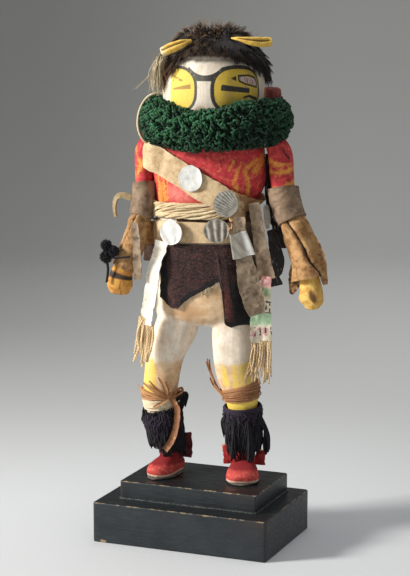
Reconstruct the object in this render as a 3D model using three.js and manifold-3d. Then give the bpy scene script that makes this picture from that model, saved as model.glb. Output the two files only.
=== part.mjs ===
// Kachina doll: a carved and painted wooden figure with a fur cap, a yarn ruff, leather and cloth
// dress and tin discs, standing on a stepped black base.
//
// Millimetres, +Z up. The base is square to the axes with its front toward -Y, and the origin is in
// the middle of its underside. The figure has its own frame on top of the base, turned a little:
// x to the figure's left, y to its back, z up from the top of the base. "Right" and "left" in names
// are the figure's own right and left.

import * as THREE from 'three';
import { mergeVertices } from 'three/addons/utils/BufferGeometryUtils.js';
import Module from 'manifold-3d';

const wasm = await Module();
wasm.setup();

// ---------------------------------------------------------------------------------- main sizes

const DEG = Math.PI / 180;
const GAP = 0.3; // air left between pieces that touch

const BASE = {
  lower: { width: 150, depth: 102, height: 33 },
  upper: { width: 119, depth: 74, height: 15, aside: 0.5, back: 4.5 },
  lip: { reach: 1.0, height: 1.6 },
  edge: 1.2,
};
const BASE_TOP = BASE.lower.height + BASE.upper.height;

const STAND = { aside: 0, back: 12, turn: 10 * DEG }; // where the figure stands on the base
const PAD = { height: 1.4, halfLength: 19, place: 0.56 };
const SOLE = PAD.height + 2 * GAP; // underside of the feet

const WAIST = { cordTop: 229, cordBottom: 215.6, beltTop: 213, beltBottom: 196.2 };
const CORD_DEPTH = 4.8; // how far the waist cord stands off the trunk
const LEATHER = 1.4; // thickness of belts and bands
const STRIP = 1.1; // thickness of hanging strips

// ------------------------------------------------------------------------------------ materials

const paint = (color, roughness = 0.75, metalness = 0) =>
  new THREE.MeshStandardMaterial({ color, roughness, metalness });

const MATERIAL = {
  blackPaint: paint(0x1b1e1f, 0.4),
  pad: paint(0x35332f, 0.7),
  whitePaint: paint(0xd9cdbd, 0.85),
  redPaint: paint(0xb8322c, 0.8),
  greenYarn: paint(0x0c3a25, 0.95),
  fur: paint(0x241813, 0.95),
  yellowHide: paint(0xd9a83a, 0.6),
  redWood: paint(0x8a4632, 0.8),
  paleFibre: paint(0xb3a58c, 0.9),
  tanLeather: paint(0xc2a27c, 0.8),
  creamCord: paint(0xcdb896, 0.85),
  tin: paint(0xd4d5d2, 0.35, 0.9),
  darkWool: paint(0x2a1a18, 0.95),
  whiteHide: paint(0xd8d2bd, 0.85),
  greyHide: paint(0x8f8271, 0.8),
  ochreHide: paint(0xb98b4f, 0.75),
  printedCloth: paint(0xb9b79a, 0.85),
  darkHide: paint(0x3a2c22, 0.7),
  blackRibbon: paint(0x17171a, 0.45),
  navyYarn: paint(0x191a26, 0.95),
  huskBrown: paint(0x9a6a3c, 0.8),
  redLeather: paint(0xa82a22, 0.6),
  maroonCloth: paint(0x45181c, 0.85),
};

// ------------------------------------------------------------------------- curves and closed skins

const vec = (x, y, z) => new THREE.Vector3(x, y, z);

// Value of `key` at place `at` on a smooth line through the stations, which are in order of `along`.
function smooth(stations, along, key, at) {
  const last = stations.length - 1;
  const rising = stations[last][along] > stations[0][along] ? 1 : -1;
  let i = 0;
  while (i < last - 1 && (at - stations[i + 1][along]) * rising > 0) i += 1;
  const value = (k) => stations[Math.min(Math.max(k, 0), last)][key] ?? 0;
  const place = (k) => stations[Math.min(Math.max(k, 0), last)][along];
  const slope = (k) => {
    const span = place(k + 1) - place(k - 1);
    return span === 0 ? 0 : (value(k + 1) - value(k - 1)) / span;
  };
  const span = place(i + 1) - place(i);
  const t = THREE.MathUtils.clamp((at - place(i)) / span, 0, 1);
  const [t2, t3] = [t * t, t * t * t];
  return (
    (2 * t3 - 3 * t2 + 1) * value(i) +
    (t3 - 2 * t2 + t) * span * slope(i) +
    (3 * t2 - 2 * t3) * value(i + 1) +
    (t3 - t2) * span * slope(i + 1)
  );
}

// Point of a rounded-square outline (squareness 2 is an ellipse) at an angle from +x.
function oval(angle, halfWidth, halfDepth, squareness = 2) {
  const [c, s] = [Math.cos(angle), Math.sin(angle)];
  const bend = (value) => Math.sign(value) * Math.abs(value) ** (2 / squareness);
  return [halfWidth * bend(c), halfDepth * bend(s)];
}

// Mesh over rings of points. Rings closed end to end make a doughnut; others get a cap at each end.
function skin(rings, { endless = false } = {}) {
  const sides = rings[0].length;
  const points = rings.flat();
  const faces = [];
  const bands = endless ? rings.length : rings.length - 1;
  for (let r = 0; r < bands; r += 1) {
    const next = (r + 1) % rings.length;
    for (let i = 0; i < sides; i += 1) {
      const j = (i + 1) % sides;
      const [a, b] = [r * sides + i, r * sides + j];
      const [c, d] = [next * sides + i, next * sides + j];
      faces.push(a, b, d, a, d, c);
    }
  }
  if (!endless) {
    [0, rings.length - 1].forEach((r) => {
      const middle = rings[r].reduce((sum, p) => sum.add(p), vec(0, 0, 0)).divideScalar(sides);
      const hub = points.push(middle) - 1;
      for (let i = 0; i < sides; i += 1) {
        const [a, b] = [r * sides + i, r * sides + ((i + 1) % sides)];
        faces.push(...(r === 0 ? [hub, b, a] : [hub, a, b]));
      }
    });
  }
  const geometry = new THREE.BufferGeometry().setFromPoints(points);
  geometry.setIndex(faces);
  return outward(geometry);
}

// Turns every face round if the closed mesh is inside out.
function outward(geometry) {
  const { array } = geometry.getAttribute('position');
  const index = geometry.getIndex().array;
  const corner = (k) => vec(array[3 * k], array[3 * k + 1], array[3 * k + 2]);
  let volume = 0;
  for (let i = 0; i < index.length; i += 3) {
    const [a, b, c] = [corner(index[i]), corner(index[i + 1]), corner(index[i + 2])];
    volume += a.dot(b.cross(c)) / 6;
  }
  if (volume < 0) geometry.setIndex(Array.from(index).reverse());
  return geometry;
}

// ------------------------------------------------------------------------------ joining and cutting

function asSolid(geometry) {
  const plain = geometry.clone();
  plain.deleteAttribute('normal');
  plain.deleteAttribute('uv');
  const merged = mergeVertices(plain, 1e-4);
  const vertProperties = new Float32Array(merged.getAttribute('position').array);
  const triVerts = new Uint32Array(merged.getIndex().array);
  return new wasm.Manifold(new wasm.Mesh({ numProp: 3, vertProperties, triVerts }));
}

function asGeometry(solid) {
  const { vertProperties, triVerts } = solid.getMesh();
  const geometry = new THREE.BufferGeometry();
  geometry.setAttribute('position', new THREE.BufferAttribute(new Float32Array(vertProperties), 3));
  geometry.setIndex(new THREE.BufferAttribute(new Uint32Array(triVerts), 1));
  return geometry;
}

const join = (...geometries) =>
  asGeometry(geometries.map(asSolid).reduce((whole, solid) => whole.add(solid)));

// Cuts the tools away and keeps the largest of the pieces that are left.
function cut(geometry, ...tools) {
  const rest = tools.map(asSolid).reduce((whole, tool) => whole.subtract(tool), asSolid(geometry));
  const pieces = rest.decompose().sort((a, b) => b.volume() - a.volume());
  return asGeometry(pieces[0]);
}

// ---------------------------------------------------------------------------------- limbs and straps

// A limb, strap or strand: stations with a middle (x, y, z) and half sizes w (sideways) and
// d (front to back) joined by a smooth curve, cut into `steps` straight lengths. `facing` is the
// direction that d is measured along.
function limb(stations, { squareness = 2, facing = vec(0, -1, 0), steps = 12, sides = 8 } = {}) {
  const curve = new THREE.CatmullRomCurve3(stations.map((s) => vec(s.x, s.y ?? 0, s.z)));
  const sized = stations.map((s, i) => ({ ...s, t: i / (stations.length - 1) }));
  const frame = (t) => {
    const middle = curve.getPoint(t);
    const tangent = curve.getTangent(t);
    const side = new THREE.Vector3().crossVectors(tangent, facing).normalize();
    const front = new THREE.Vector3().crossVectors(side, tangent).normalize();
    return { middle, side, front, w: smooth(sized, 't', 'w', t), d: smooth(sized, 't', 'd', t) };
  };
  const roundRing = (t, grow) => {
    const { middle, side, front, w, d } = frame(t);
    return Array.from({ length: sides }, (_, i) => {
      const [across, out] = oval(((i + 0.5) / sides) * 2 * Math.PI, w + grow, d + grow, squareness);
      return middle.clone().addScaledVector(side, across).addScaledVector(front, out);
    });
  };
  // Ring of the faceted limb, `grow` clear of it: straight between the ends of each length.
  const ring = (t, grow) => {
    const length = Math.min(Math.floor(t * steps + 1e-9), steps - 1);
    const share = t * steps - length;
    const [low, high] = [roundRing(length / steps, grow), roundRing((length + 1) / steps, grow)];
    return low.map((p, i) => p.lerp(high[i], share));
  };
  return { frame, ring, steps };
}

// Places from one end of a stretch of limb to the other, with every joint between its lengths.
function placesAlong({ steps }, from, to) {
  const joints = Array.from({ length: steps + 1 }, (_, k) => k / steps)
    .filter((t) => t > from + 1e-4 && t < to - 1e-4);
  return [from, ...joints, to];
}

// The limb, or a stretch of it, as a closed solid swollen by `grow`.
const limbSolid = (shape, { from = 0, to = 1, grow = 0 } = {}) =>
  skin(placesAlong(shape, from, to).map((t) => shape.ring(t, grow)));

// A tube worn round a limb between two places on it, from `inner` to `outer` clear of its surface.
function sleeve(shape, { from, to, inner = 2 * GAP, outer }) {
  const places = placesAlong(shape, from, to);
  const outside = places.map((t) => shape.ring(t, outer((t - from) / (to - from))));
  const inside = places.map((t) => shape.ring(t, inner)).reverse();
  return skin([...outside, ...inside], { endless: true });
}

// A flat strap with square edges through the stations, each with its half width w.
function strap(stations, { thickness = STRIP, facing = vec(0, -1, 0), steps = 10, grow = 0 } = {}) {
  const half = thickness / 2;
  const shape = limb(stations.map((s) => ({ ...s, d: half })), { facing });
  const rings = [];
  for (let i = 0; i <= steps; i += 1) {
    const { middle, side, front, w } = shape.frame(i / steps);
    const corner = (across, out) =>
      middle.clone()
        .addScaledVector(side, across * (w + grow))
        .addScaledVector(front, out * (half + grow));
    rings.push([corner(-1, -1), corner(1, -1), corner(1, 1), corner(-1, 1)]);
  }
  return skin(rings);
}

// ------------------------------------------------------------------------------------- the trunk

const TRUNK = [
  { z: 127, x: -2, halfWidth: 33, halfDepth: 14 },
  { z: 133, x: -2, halfWidth: 38.5, halfDepth: 20 },
  { z: 146, x: -1.5, halfWidth: 40, halfDepth: 23.5 },
  { z: 175, x: -3, halfWidth: 38.5, halfDepth: 23 },
  { z: 200, x: -5, halfWidth: 36.5, halfDepth: 21 },
  { z: 222, x: -4.5, halfWidth: 37, halfDepth: 21 },
  { z: 229, x: -1, halfWidth: 41, halfDepth: 22.5 },
  { z: 237, x: 1.5, halfWidth: 43.5, halfDepth: 24 },
  { z: 262, x: 1, halfWidth: 45.5, halfDepth: 25 },
  { z: 276, x: 1, halfWidth: 43, halfDepth: 23 },
  { z: 284, x: 2, halfWidth: 34, halfDepth: 20 },
  { z: 292, x: 3.5, halfWidth: 24, halfDepth: 20 },
];
const TRUNK_SIDES = 20;
const TRUNK_SQUARENESS = 2.5;

// The trunk is straight between its stations.
function trunkAt(z, key) {
  const above = Math.max(1, TRUNK.findIndex((station, i) => station.z >= z || i === TRUNK.length - 1));
  const [low, high] = [TRUNK[above - 1], TRUNK[above]];
  const share = THREE.MathUtils.clamp((z - low.z) / (high.z - low.z), 0, 1);
  return THREE.MathUtils.lerp(low[key], high[key], share);
}

// A point at an angle on the trunk's skin at height z, `reach` clear of it.
function onTrunk(angle, z, reach) {
  const [dx, dy] = oval(
    angle,
    trunkAt(z, 'halfWidth') + reach,
    trunkAt(z, 'halfDepth') + reach,
    TRUNK_SQUARENESS,
  );
  return vec(trunkAt(z, 'x') + dx, dy, z);
}

function trunkRing(z, reach) {
  return Array.from({ length: TRUNK_SIDES }, (_, i) =>
    onTrunk((i / TRUNK_SIDES) * 2 * Math.PI, z, reach));
}

function trunk(grow = 0) {
  const heights = TRUNK.map((station) => station.z);
  return skin(heights.map((z, i) => {
    const lift = i === 0 ? -grow : i === heights.length - 1 ? grow : 0;
    return trunkRing(z, grow).map((p) => p.add(vec(0, 0, lift)));
  }));
}

// A band round the trunk whose cross-section is a list of [reach, height] points, in order. It
// bends wherever it passes one of the trunk's stations.
function trunkBand(section) {
  const bent = section.flatMap(([reach, z], i) => {
    const [nextReach, nextZ] = section[(i + 1) % section.length];
    const passed = TRUNK.map((station) => (station.z - z) / (nextZ - z))
      .filter((share) => share > 0.01 && share < 0.99)
      .sort((a, b) => a - b)
      .map((share) => [
        THREE.MathUtils.lerp(reach, nextReach, share),
        THREE.MathUtils.lerp(z, nextZ, share),
      ]);
    return [[reach, z], ...passed];
  });
  return skin(bent.map(([reach, z]) => trunkRing(z, reach)), { endless: true });
}

// -------------------------------------------------------------------------- head, legs, feet, arms

const HEAD = { x: 5.5, y: -1, low: 286, top: 349, halfWidth: 40.5, halfDepth: 39, sides: 20 };

// The mask: a short drum with a rounded crown, drawn in toward the neck: [rise, share of full size].
const HEAD_OUTLINE = [[0, 0.7], [0.16, 0.9], [0.34, 0.99], [0.6, 1], [0.76, 0.95], [0.89, 0.82],
  [0.97, 0.58], [1, 0.2]];

function head(grow = 0) {
  const height = HEAD.top - HEAD.low;
  return skin(HEAD_OUTLINE.map(([up, share]) => {
    const z = HEAD.low + up * height + (up - 0.5) * 2 * grow;
    return Array.from({ length: HEAD.sides }, (_, i) => {
      const [dx, dy] = oval(
        (i / HEAD.sides) * 2 * Math.PI,
        HEAD.halfWidth * share + grow,
        HEAD.halfDepth * share + grow,
      );
      return vec(HEAD.x + dx, HEAD.y + dy, z);
    });
  }));
}

const RIGHT_LEG = limb([
  { x: -20, y: 0, z: 144, w: 14, d: 17 },
  { x: -25.5, y: 0, z: 124, w: 17, d: 18.5 },
  { x: -34, y: -1, z: 103, w: 15.5, d: 17 },
  { x: -37.5, y: -1, z: 86, w: 14.5, d: 15 },
  { x: -39.5, y: -1, z: 66, w: 13.5, d: 14 },
  { x: -37, y: 0, z: 46, w: 10.5, d: 11.5 },
  { x: -33, y: 2, z: 24, w: 8.5, d: 9.5 },
  { x: -31, y: 3, z: 7, w: 8.5, d: 9.5 },
], { steps: 9, sides: 10 });
const LEFT_LEG = limb([
  { x: 19, y: 0, z: 144, w: 15, d: 17 },
  { x: 22, y: 0, z: 124, w: 17.5, d: 18.5 },
  { x: 22.5, y: -1, z: 105, w: 17, d: 17 },
  { x: 24.5, y: -1, z: 88, w: 16.5, d: 15 },
  { x: 29, y: -1, z: 68, w: 13.5, d: 14 },
  { x: 30, y: 0, z: 50, w: 10.5, d: 11.5 },
  { x: 30.5, y: 2, z: 24, w: 8.5, d: 9.5 },
  { x: 30.5, y: 3, z: 7, w: 8.5, d: 9.5 },
], { steps: 9, sides: 10 });

// Feet: where the heel is, the toe's angle outward from straight ahead, length and half width.
const RIGHT_FOOT = { heel: vec(-25, 10, 0), toeOut: -24, length: 38, halfWidth: 10.5 };
const LEFT_FOOT = { heel: vec(29, 12, 0), toeOut: 8, length: 42, halfWidth: 13.5 };

const along = ({ heel, toeOut, length }, share) => heel.clone()
  .addScaledVector(vec(Math.sin(toeOut * DEG), -Math.cos(toeOut * DEG), 0), share * length);

// A moccasin: a rounded form, broad at the toe and flat below, cut off at the sole.
function foot(shape, grow = 0) {
  const profile = [[0, 0.4, 5], [0.1, 0.62, 9], [0.35, 0.75, 12], [0.6, 0.96, 10.5], [0.8, 1, 8],
    [0.94, 0.75, 6.5], [1, 0.42, 4]];
  const stations = profile.map(([share, broad, d]) => {
    const place = along(shape, share);
    return { x: place.x, y: place.y, z: SOLE + d * 0.35, w: shape.halfWidth * broad, d };
  });
  const form = limb(stations, { facing: vec(0, 0, 1), squareness: 2.3, steps: 6, sides: 10 });
  const ground = new THREE.BoxGeometry(200, 200, 40);
  ground.translate(0, 0, SOLE - 20 - grow);
  return cut(limbSolid(form, { grow }), ground);
}

const bodyGeometry = join(
  trunk(), head(), limbSolid(RIGHT_LEG), limbSolid(LEFT_LEG), foot(RIGHT_FOOT), foot(LEFT_FOOT),
);

// Arms are carved apart and pegged to the shoulders; each ends in a simple closed hand.
const RIGHT_ARM = limb([
  { x: -46, y: 0, z: 279, w: 7, d: 9 },
  { x: -51, y: -1, z: 266, w: 8, d: 10.5 },
  { x: -51, y: -3, z: 246, w: 7.5, d: 10 },
  { x: -50.5, y: -8, z: 226, w: 7, d: 9 },
  { x: -55, y: -13, z: 203, w: 6.5, d: 8 },
  { x: -62, y: -17, z: 181, w: 6, d: 7 },
  { x: -67, y: -18, z: 169, w: 9, d: 8 },
  { x: -68.5, y: -18, z: 160, w: 10.5, d: 8.5 },
  { x: -69, y: -18, z: 153.5, w: 6, d: 5 },
]);
const LEFT_ARM = limb([
  { x: 52, y: 0, z: 280, w: 7, d: 9 },
  { x: 59.5, y: -1, z: 267, w: 9.5, d: 10.5 },
  { x: 61.5, y: -3, z: 248, w: 9.5, d: 10 },
  { x: 65.5, y: -7, z: 228, w: 8.5, d: 9 },
  { x: 76, y: -12, z: 205, w: 7.5, d: 8 },
  { x: 83.5, y: -16, z: 181, w: 7, d: 7.5 },
  { x: 87.5, y: -18, z: 165, w: 8.5, d: 8.5 },
  { x: 89, y: -18, z: 153, w: 9, d: 8 },
  { x: 89, y: -18, z: 147.5, w: 5.5, d: 5 },
]);

// --------------------------------------------------------------------------- the base under it all

// A block with its corners and its top edge eased.
function block({ width, depth, height }, edge) {
  const ring = (reach, z) => {
    const [halfWidth, halfDepth] = [width / 2 + reach, depth / 2 + reach];
    return [[-1, -1], [1, -1], [1, 1], [-1, 1]].flatMap(([sx, sy]) => {
      const [nearX, nearY] = [vec(sx * (halfWidth - edge), sy * halfDepth, z),
        vec(sx * halfWidth, sy * (halfDepth - edge), z)];
      return sx * sy > 0 ? [nearY, nearX] : [nearX, nearY];
    });
  };
  return skin([ring(0, 0), ring(0, height - edge), ring(-edge, height)]);
}

const lowerBlock = () => block(BASE.lower, BASE.edge);

// The upper block has a thin lip round its foot.
function upperBlock() {
  const { upper, lip, edge } = BASE;
  const wide = { width: upper.width + 2 * lip.reach, depth: upper.depth + 2 * lip.reach };
  return join(block(upper, edge), block({ ...wide, height: lip.height }, lip.height / 3));
}

// Thin oval pad under a foot, in line with it.
function footPad(shape) {
  const outline = new THREE.Shape();
  outline.absellipse(0, 0, shape.halfWidth, PAD.halfLength, 0, 2 * Math.PI);
  const pad = new THREE.ExtrudeGeometry(outline, {
    depth: PAD.height,
    bevelEnabled: false,
    curveSegments: 10,
  });
  const middle = along(shape, PAD.place);
  return pad.rotateZ(shape.toeOut * DEG).translate(middle.x, middle.y, GAP);
}

// ------------------------------------------------------------------------------ dress of the head

const RUFF = { x: 5.5, y: -2, z: 293, ringWidth: 48.5, ringDepth: 41, thick: 14.5, tall: 20 };
// Below the chin the ruff sags and is less tall: where round the ring, how wide a stretch, how far.
const CHIN = { angle: 262 * DEG, spread: 32 * DEG, sag: 4.5, thinner: 0.14 };

// The ruff: a fat ring of yarn loops round the neck, lumpy all over.
function ruffRing(grow = 0) {
  const [around, section] = [24, 7];
  const rings = Array.from({ length: around }, (_, i) => {
    const angle = (i / around) * 2 * Math.PI;
    const [cx, cy] = oval(angle, RUFF.ringWidth, RUFF.ringDepth);
    const out = vec(Math.cos(angle), Math.sin(angle), 0);
    const chin = Math.exp(-(((angle - CHIN.angle) / CHIN.spread) ** 2));
    const tall = RUFF.tall * (1 - CHIN.thinner * chin);
    return Array.from({ length: section }, (__, k) => {
      const turn = ((k + (i % 2) / 2) / section) * 2 * Math.PI;
      const lump = 1 + 0.05 * Math.sin(5 * angle + 3 * turn) + 0.05 * Math.cos(9 * angle - 2 * turn);
      return vec(RUFF.x + cx, RUFF.y + cy, RUFF.z - CHIN.sag * chin)
        .addScaledVector(out, (RUFF.thick * lump + grow) * Math.cos(turn))
        .add(vec(0, 0, (tall * lump + grow) * Math.sin(turn)));
    });
  });
  return skin(rings, { endless: true });
}

const FUR = { x: 6, y: 0, brow: 345, top: 371, halfWidth: 41, halfDepth: 42, sideDrop: 17, lock: 3 };

// Height of the fur's lower edge: highest over the brow, hanging over the temples and the back.
const furEdge = (angle) => FUR.brow - FUR.sideDrop * Math.min(1, (1 + Math.sin(angle)) * 0.95);

// The fur cap: a dome with a ragged surface of pointed locks.
function furDome(grow = 0) {
  const [around, levels] = [22, 4];
  const rings = [];
  for (let k = 0; k <= levels; k += 1) {
    const rise = k / levels;
    rings.push(Array.from({ length: around }, (_, i) => {
      const angle = (i / around) * 2 * Math.PI;
      const low = furEdge(angle) - grow;
      const z = low + (FUR.top + grow - low) * Math.sin((rise * Math.PI) / 2) ** 1.3;
      const share = Math.cos(rise * Math.PI * 0.49) ** 0.82;
      const ragged = FUR.lock * Math.cos(i * Math.PI + k) * (k === levels ? 0.3 : 1) * 0.5;
      const reach = ragged + grow;
      const [dx, dy] = oval(angle, FUR.halfWidth * share + reach, FUR.halfDepth * share + reach);
      return vec(FUR.x + dx, FUR.y + dy, z + ragged * 0.6);
    }));
  }
  return skin(rings);
}

// Yellow horns of rolled hide, lying on the fur at each side of the brow.
const RIGHT_HORN = [
  { x: -8, y: -33, z: 355.8, w: 1.8 },
  { x: -16, y: -35, z: 352.8, w: 3.4 },
  { x: -24, y: -34.5, z: 349.5, w: 3.7 },
  { x: -29.5, y: -33, z: 347, w: 3.4 },
];
const LEFT_HORN = [
  { x: 26, y: -33, z: 359.4, w: 1.2 },
  { x: 35, y: -34, z: 358.2, w: 2.7 },
  { x: 45, y: -31.5, z: 357, w: 3.4 },
  { x: 54, y: -28.5, z: 356.4, w: 3.2 },
];
function horn(stations) {
  const roll = stations.map((s) => ({ ...s, d: s.w * 0.9 }));
  return cut(limbSolid(limb(roll, { squareness: 2.6, steps: 5, sides: 8 })), furDome(GAP));
}

// The red-brown ear at the left of the mask: a rounded block of wood.
const EAR = { x: 51, y: 3, z: 312, halfWidth: 8, halfHeight: 8, halfDepth: 6.5 };
function ear() {
  const form = new THREE.SphereGeometry(1, 8, 6);
  const place = form.getAttribute('position');
  for (let i = 0; i < place.count; i += 1) {
    const p = new THREE.Vector3().fromBufferAttribute(place, i);
    const push = 1 / (p.x ** 4 + p.y ** 4 + p.z ** 4) ** 0.25;
    place.setXYZ(i, EAR.x + p.x * push * EAR.halfWidth, EAR.y + p.y * push * EAR.halfDepth,
      EAR.z + p.z * push * EAR.halfHeight);
  }
  return cut(form, head(GAP), ruffRing(GAP));
}

// Strands as thin tubes through lists of [x, y, z] places, joined into one bundle.
function bundle(strands, thick) {
  return join(...strands.map((places) => {
    const stations = places.map(([x, y, z], i) => ({
      x,
      y,
      z,
      w: thick * (i === places.length - 1 ? 0.5 : 1),
      d: thick * (i === places.length - 1 ? 0.5 : 1),
    }));
    return limbSolid(limb(stations, { steps: 2, sides: 4 }));
  }));
}

// Pale plant fibre hanging from the outer end of the right horn, with one strand sticking out.
function fibreTuft() {
  const strands = [-1, 0, 1].map((spread) => [
    [-33.5 + spread, -24, 341.5],
    [-35 + spread * 3, -23 - spread, 331],
    [-36 + spread * 5, -24 - spread * 2, 321],
    [-37 + spread * 7, -24 - spread * 3, 314.5],
  ]);
  const trailing = [[-34, -24, 338], [-44, -22, 328], [-54, -20, 318]];
  const tuft = bundle([...strands, trailing], 2.6);
  return cut(tuft, head(GAP), furDome(GAP), ruffRing(GAP), horn(RIGHT_HORN));
}

// ------------------------------------------------------------------------- dress of the trunk

// Cord wound three times round the waist.
function waistCord() {
  const { cordTop, cordBottom } = WAIST;
  const turns = 3;
  const turn = (cordTop - cordBottom) / turns;
  const section = [[GAP, cordBottom], [CORD_DEPTH, cordBottom + turn * 0.4]];
  for (let i = 1; i < turns; i += 1) {
    section.push([CORD_DEPTH - 1.8, cordBottom + turn * i]);
    section.push([CORD_DEPTH, cordBottom + turn * (i + 0.5)]);
  }
  return trunkBand([...section, [GAP, cordTop]]);
}

const belt = () => trunkBand([
  [GAP, WAIST.beltBottom],
  [GAP + LEATHER, WAIST.beltBottom],
  [GAP + LEATHER, WAIST.beltTop],
  [GAP, WAIST.beltTop],
]);

// The bandolier: a loop of leather over the right shoulder and down to the left hip, cut from a
// shell round the trunk by a slanted slab. Low down, the shell steps out over the waist cord.
const BANDOLIER = { slope: 29 * DEG, middle: 212, width: 20.5, low: 200, high: 283 };
function bandolierShell() {
  const [over, clear] = [WAIST.cordTop + 1, WAIST.cordTop + 11];
  const lift = (z) => CORD_DEPTH * (1 - THREE.MathUtils.smoothstep(z, over, clear));
  const heights = [BANDOLIER.high, clear, over + 1, BANDOLIER.low];
  const outer = heights.map((z) => [GAP + lift(z) + LEATHER, z]);
  const inner = heights.map((z) => [GAP + lift(z), z]);
  return trunkBand([...outer, ...inner.reverse()]);
}
function bandolier() {
  const slab = new THREE.BoxGeometry(600, 200, BANDOLIER.width);
  slab.translate(0, 0, BANDOLIER.middle).rotateY(BANDOLIER.slope);
  const loop = asGeometry(asSolid(bandolierShell()).intersect(asSolid(slab)));
  const arms = [RIGHT_ARM, LEFT_ARM].map((arm) => limbSolid(arm, { grow: GAP }));
  return cut(loop, ruffRing(GAP), ...arms);
}

// The kilt of dark wool: a cloth round the hips, open at the right thigh, its hem cut up in front.
const KILT = { top: 195.6, hip: 152, hem: 134, thick: 2, reach: 0.6, flare: 0.09 };
const KILT_FRONT = [[-26.5, KILT.top], [-33, 158], [-29, 147], [-21, 143], [-11, 152], [5, 161],
  [16, 165.5], [20, 152], [21.5, 131], [30, 126.5], [60, 126], [60, KILT.top]];
function kilt() {
  const flare = (z) => KILT.reach + KILT.flare * Math.max(0, KILT.hip - z);
  const heights = [KILT.top, KILT.hip, KILT.hem - 11];
  const outer = heights.map((z) => [flare(z) + KILT.thick, z]);
  const inner = heights.map((z) => [flare(z), z]);
  const shell = trunkBand([...outer, ...inner.reverse()]);
  const front = new THREE.ExtrudeGeometry(
    new THREE.Shape(KILT_FRONT.map(([x, z]) => new THREE.Vector2(x, z))),
    { depth: 60, bevelEnabled: false },
  ).rotateX(Math.PI / 2);
  const back = new THREE.BoxGeometry(90, 60, KILT.top - KILT.hem);
  back.translate(15, 30, (KILT.top + KILT.hem) / 2);
  const cloth = asSolid(shell).intersect(asSolid(front).add(asSolid(back)));
  const legs = [LEFT_LEG, RIGHT_LEG].map((leg) => limbSolid(leg, { grow: GAP }));
  return cut(asGeometry(cloth), ...legs);
}

// A place on the front of the trunk, `reach` clear of its skin, with the direction facing outward.
function trunkFront(x, z, reach) {
  const find = (at) => {
    const share = (at - trunkAt(z, 'x')) / (trunkAt(z, 'halfWidth') + reach);
    const depth = (1 - Math.abs(share) ** TRUNK_SQUARENESS) ** (1 / TRUNK_SQUARENESS);
    return vec(at, -depth * (trunkAt(z, 'halfDepth') + reach), z);
  };
  const across = find(x + 1).sub(find(x - 1)).normalize();
  return { place: find(x), outward: new THREE.Vector3().crossVectors(across, vec(0, 0, 1)) };
}

// Tin discs: where each hangs, its half sizes and how far it stands off the trunk.
const DISC_THICK = 0.7;
const DISCS = {
  tin_disc_chest_upper: { x: -6.8, z: 249, halfWidth: 9.8, halfHeight: 10.8, reach: 2.6 },
  tin_disc_chest_lower: { x: 22, z: 229.5, halfWidth: 9.8, halfHeight: 10.6, reach: 8.4 },
  tin_disc_belt_right: { x: -23.5, z: 205.5, halfWidth: 8.8, halfHeight: 10.2, reach: 6 },
  tin_disc_belt_left: { x: 13.4, z: 207, halfWidth: 10.2, halfHeight: 9.8, reach: 6 },
};
function disc({ x, z, halfWidth, halfHeight, reach }) {
  const plate = new THREE.CylinderGeometry(1, 1, DISC_THICK, 18);
  plate.rotateX(Math.PI / 2).scale(halfWidth, halfHeight, 1);
  const { place, outward } = trunkFront(x, z, reach);
  plate.lookAt(outward);
  return plate.translate(place.x, place.y, place.z);
}

// ----------------------------------------------------------------------- sashes and hanging strips

// A comb of loose threads below the end of a band: `count` strands spread over `width`.
function fringe({ x, y, z }, { count, width, length, drift = 0, thick = 1 }) {
  const strands = Array.from({ length: count }, (_, i) => {
    const share = i / (count - 1) - 0.5;
    const droop = length * (1 - 0.16 * ((i * 7) % 3));
    return [
      [x + share * (width - thick), y, z + 1.5],
      [x + share * width + drift * 0.45, y - 0.6 * (i % 2), z - droop * 0.5],
      [x + share * width * 1.12 + drift, y + 0.8 * (i % 2), z - droop],
    ];
  });
  return bundle(strands, thick);
}

const SASH_RIGHT = [
  { x: -32.6, y: -20.6, z: 195.3, w: 5.2 },
  { x: -38.3, y: -23, z: 171.7, w: 5.4 },
  { x: -41.5, y: -24, z: 151.3, w: 5.4 },
  { x: -44.5, y: -24, z: 129, w: 5 },
];
function sashRight() {
  const band = strap(SASH_RIGHT, { facing: vec(-0.3, -1, 0), steps: 5 });
  const threads = fringe(vec(-44.5, -24, 130), { count: 4, width: 9, length: 37, drift: -7, thick: 1.5 });
  return cut(join(band, threads), limbSolid(RIGHT_LEG, { grow: GAP }), kilt());
}

const SASH_LEFT = [
  { x: 33, y: -33, z: 219, w: 4.6 },
  { x: 33.2, y: -33, z: 206.8, w: 5 },
  { x: 36.5, y: -32, z: 187, w: 6.2 },
  { x: 40.3, y: -29, z: 166, w: 9 },
  { x: 44.3, y: -26, z: 148, w: 8 },
  { x: 46, y: -24, z: 141, w: 6.5 },
];
const sashLeft = (grow = 0) =>
  strap(SASH_LEFT, { facing: vec(0.25, -1, 0), steps: 8, grow });

const SASH_END = [
  { x: 52.5, y: -19, z: 171, w: 3.6 },
  { x: 50.5, y: -20, z: 156, w: 5.5 },
  { x: 48.4, y: -21, z: 137, w: 8.3 },
  { x: 48.9, y: -21, z: 117.4, w: 8.5 },
];
function sashEnd() {
  const cloth = strap(SASH_END, { facing: vec(0.25, -1, 0), steps: 4 });
  const threads = fringe(vec(48.9, -21, 118), { count: 6, width: 14.5, length: 36, thick: 1.3 });
  return cut(join(cloth, threads), sashLeft(GAP), limbSolid(LEFT_LEG, { grow: GAP }));
}

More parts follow.
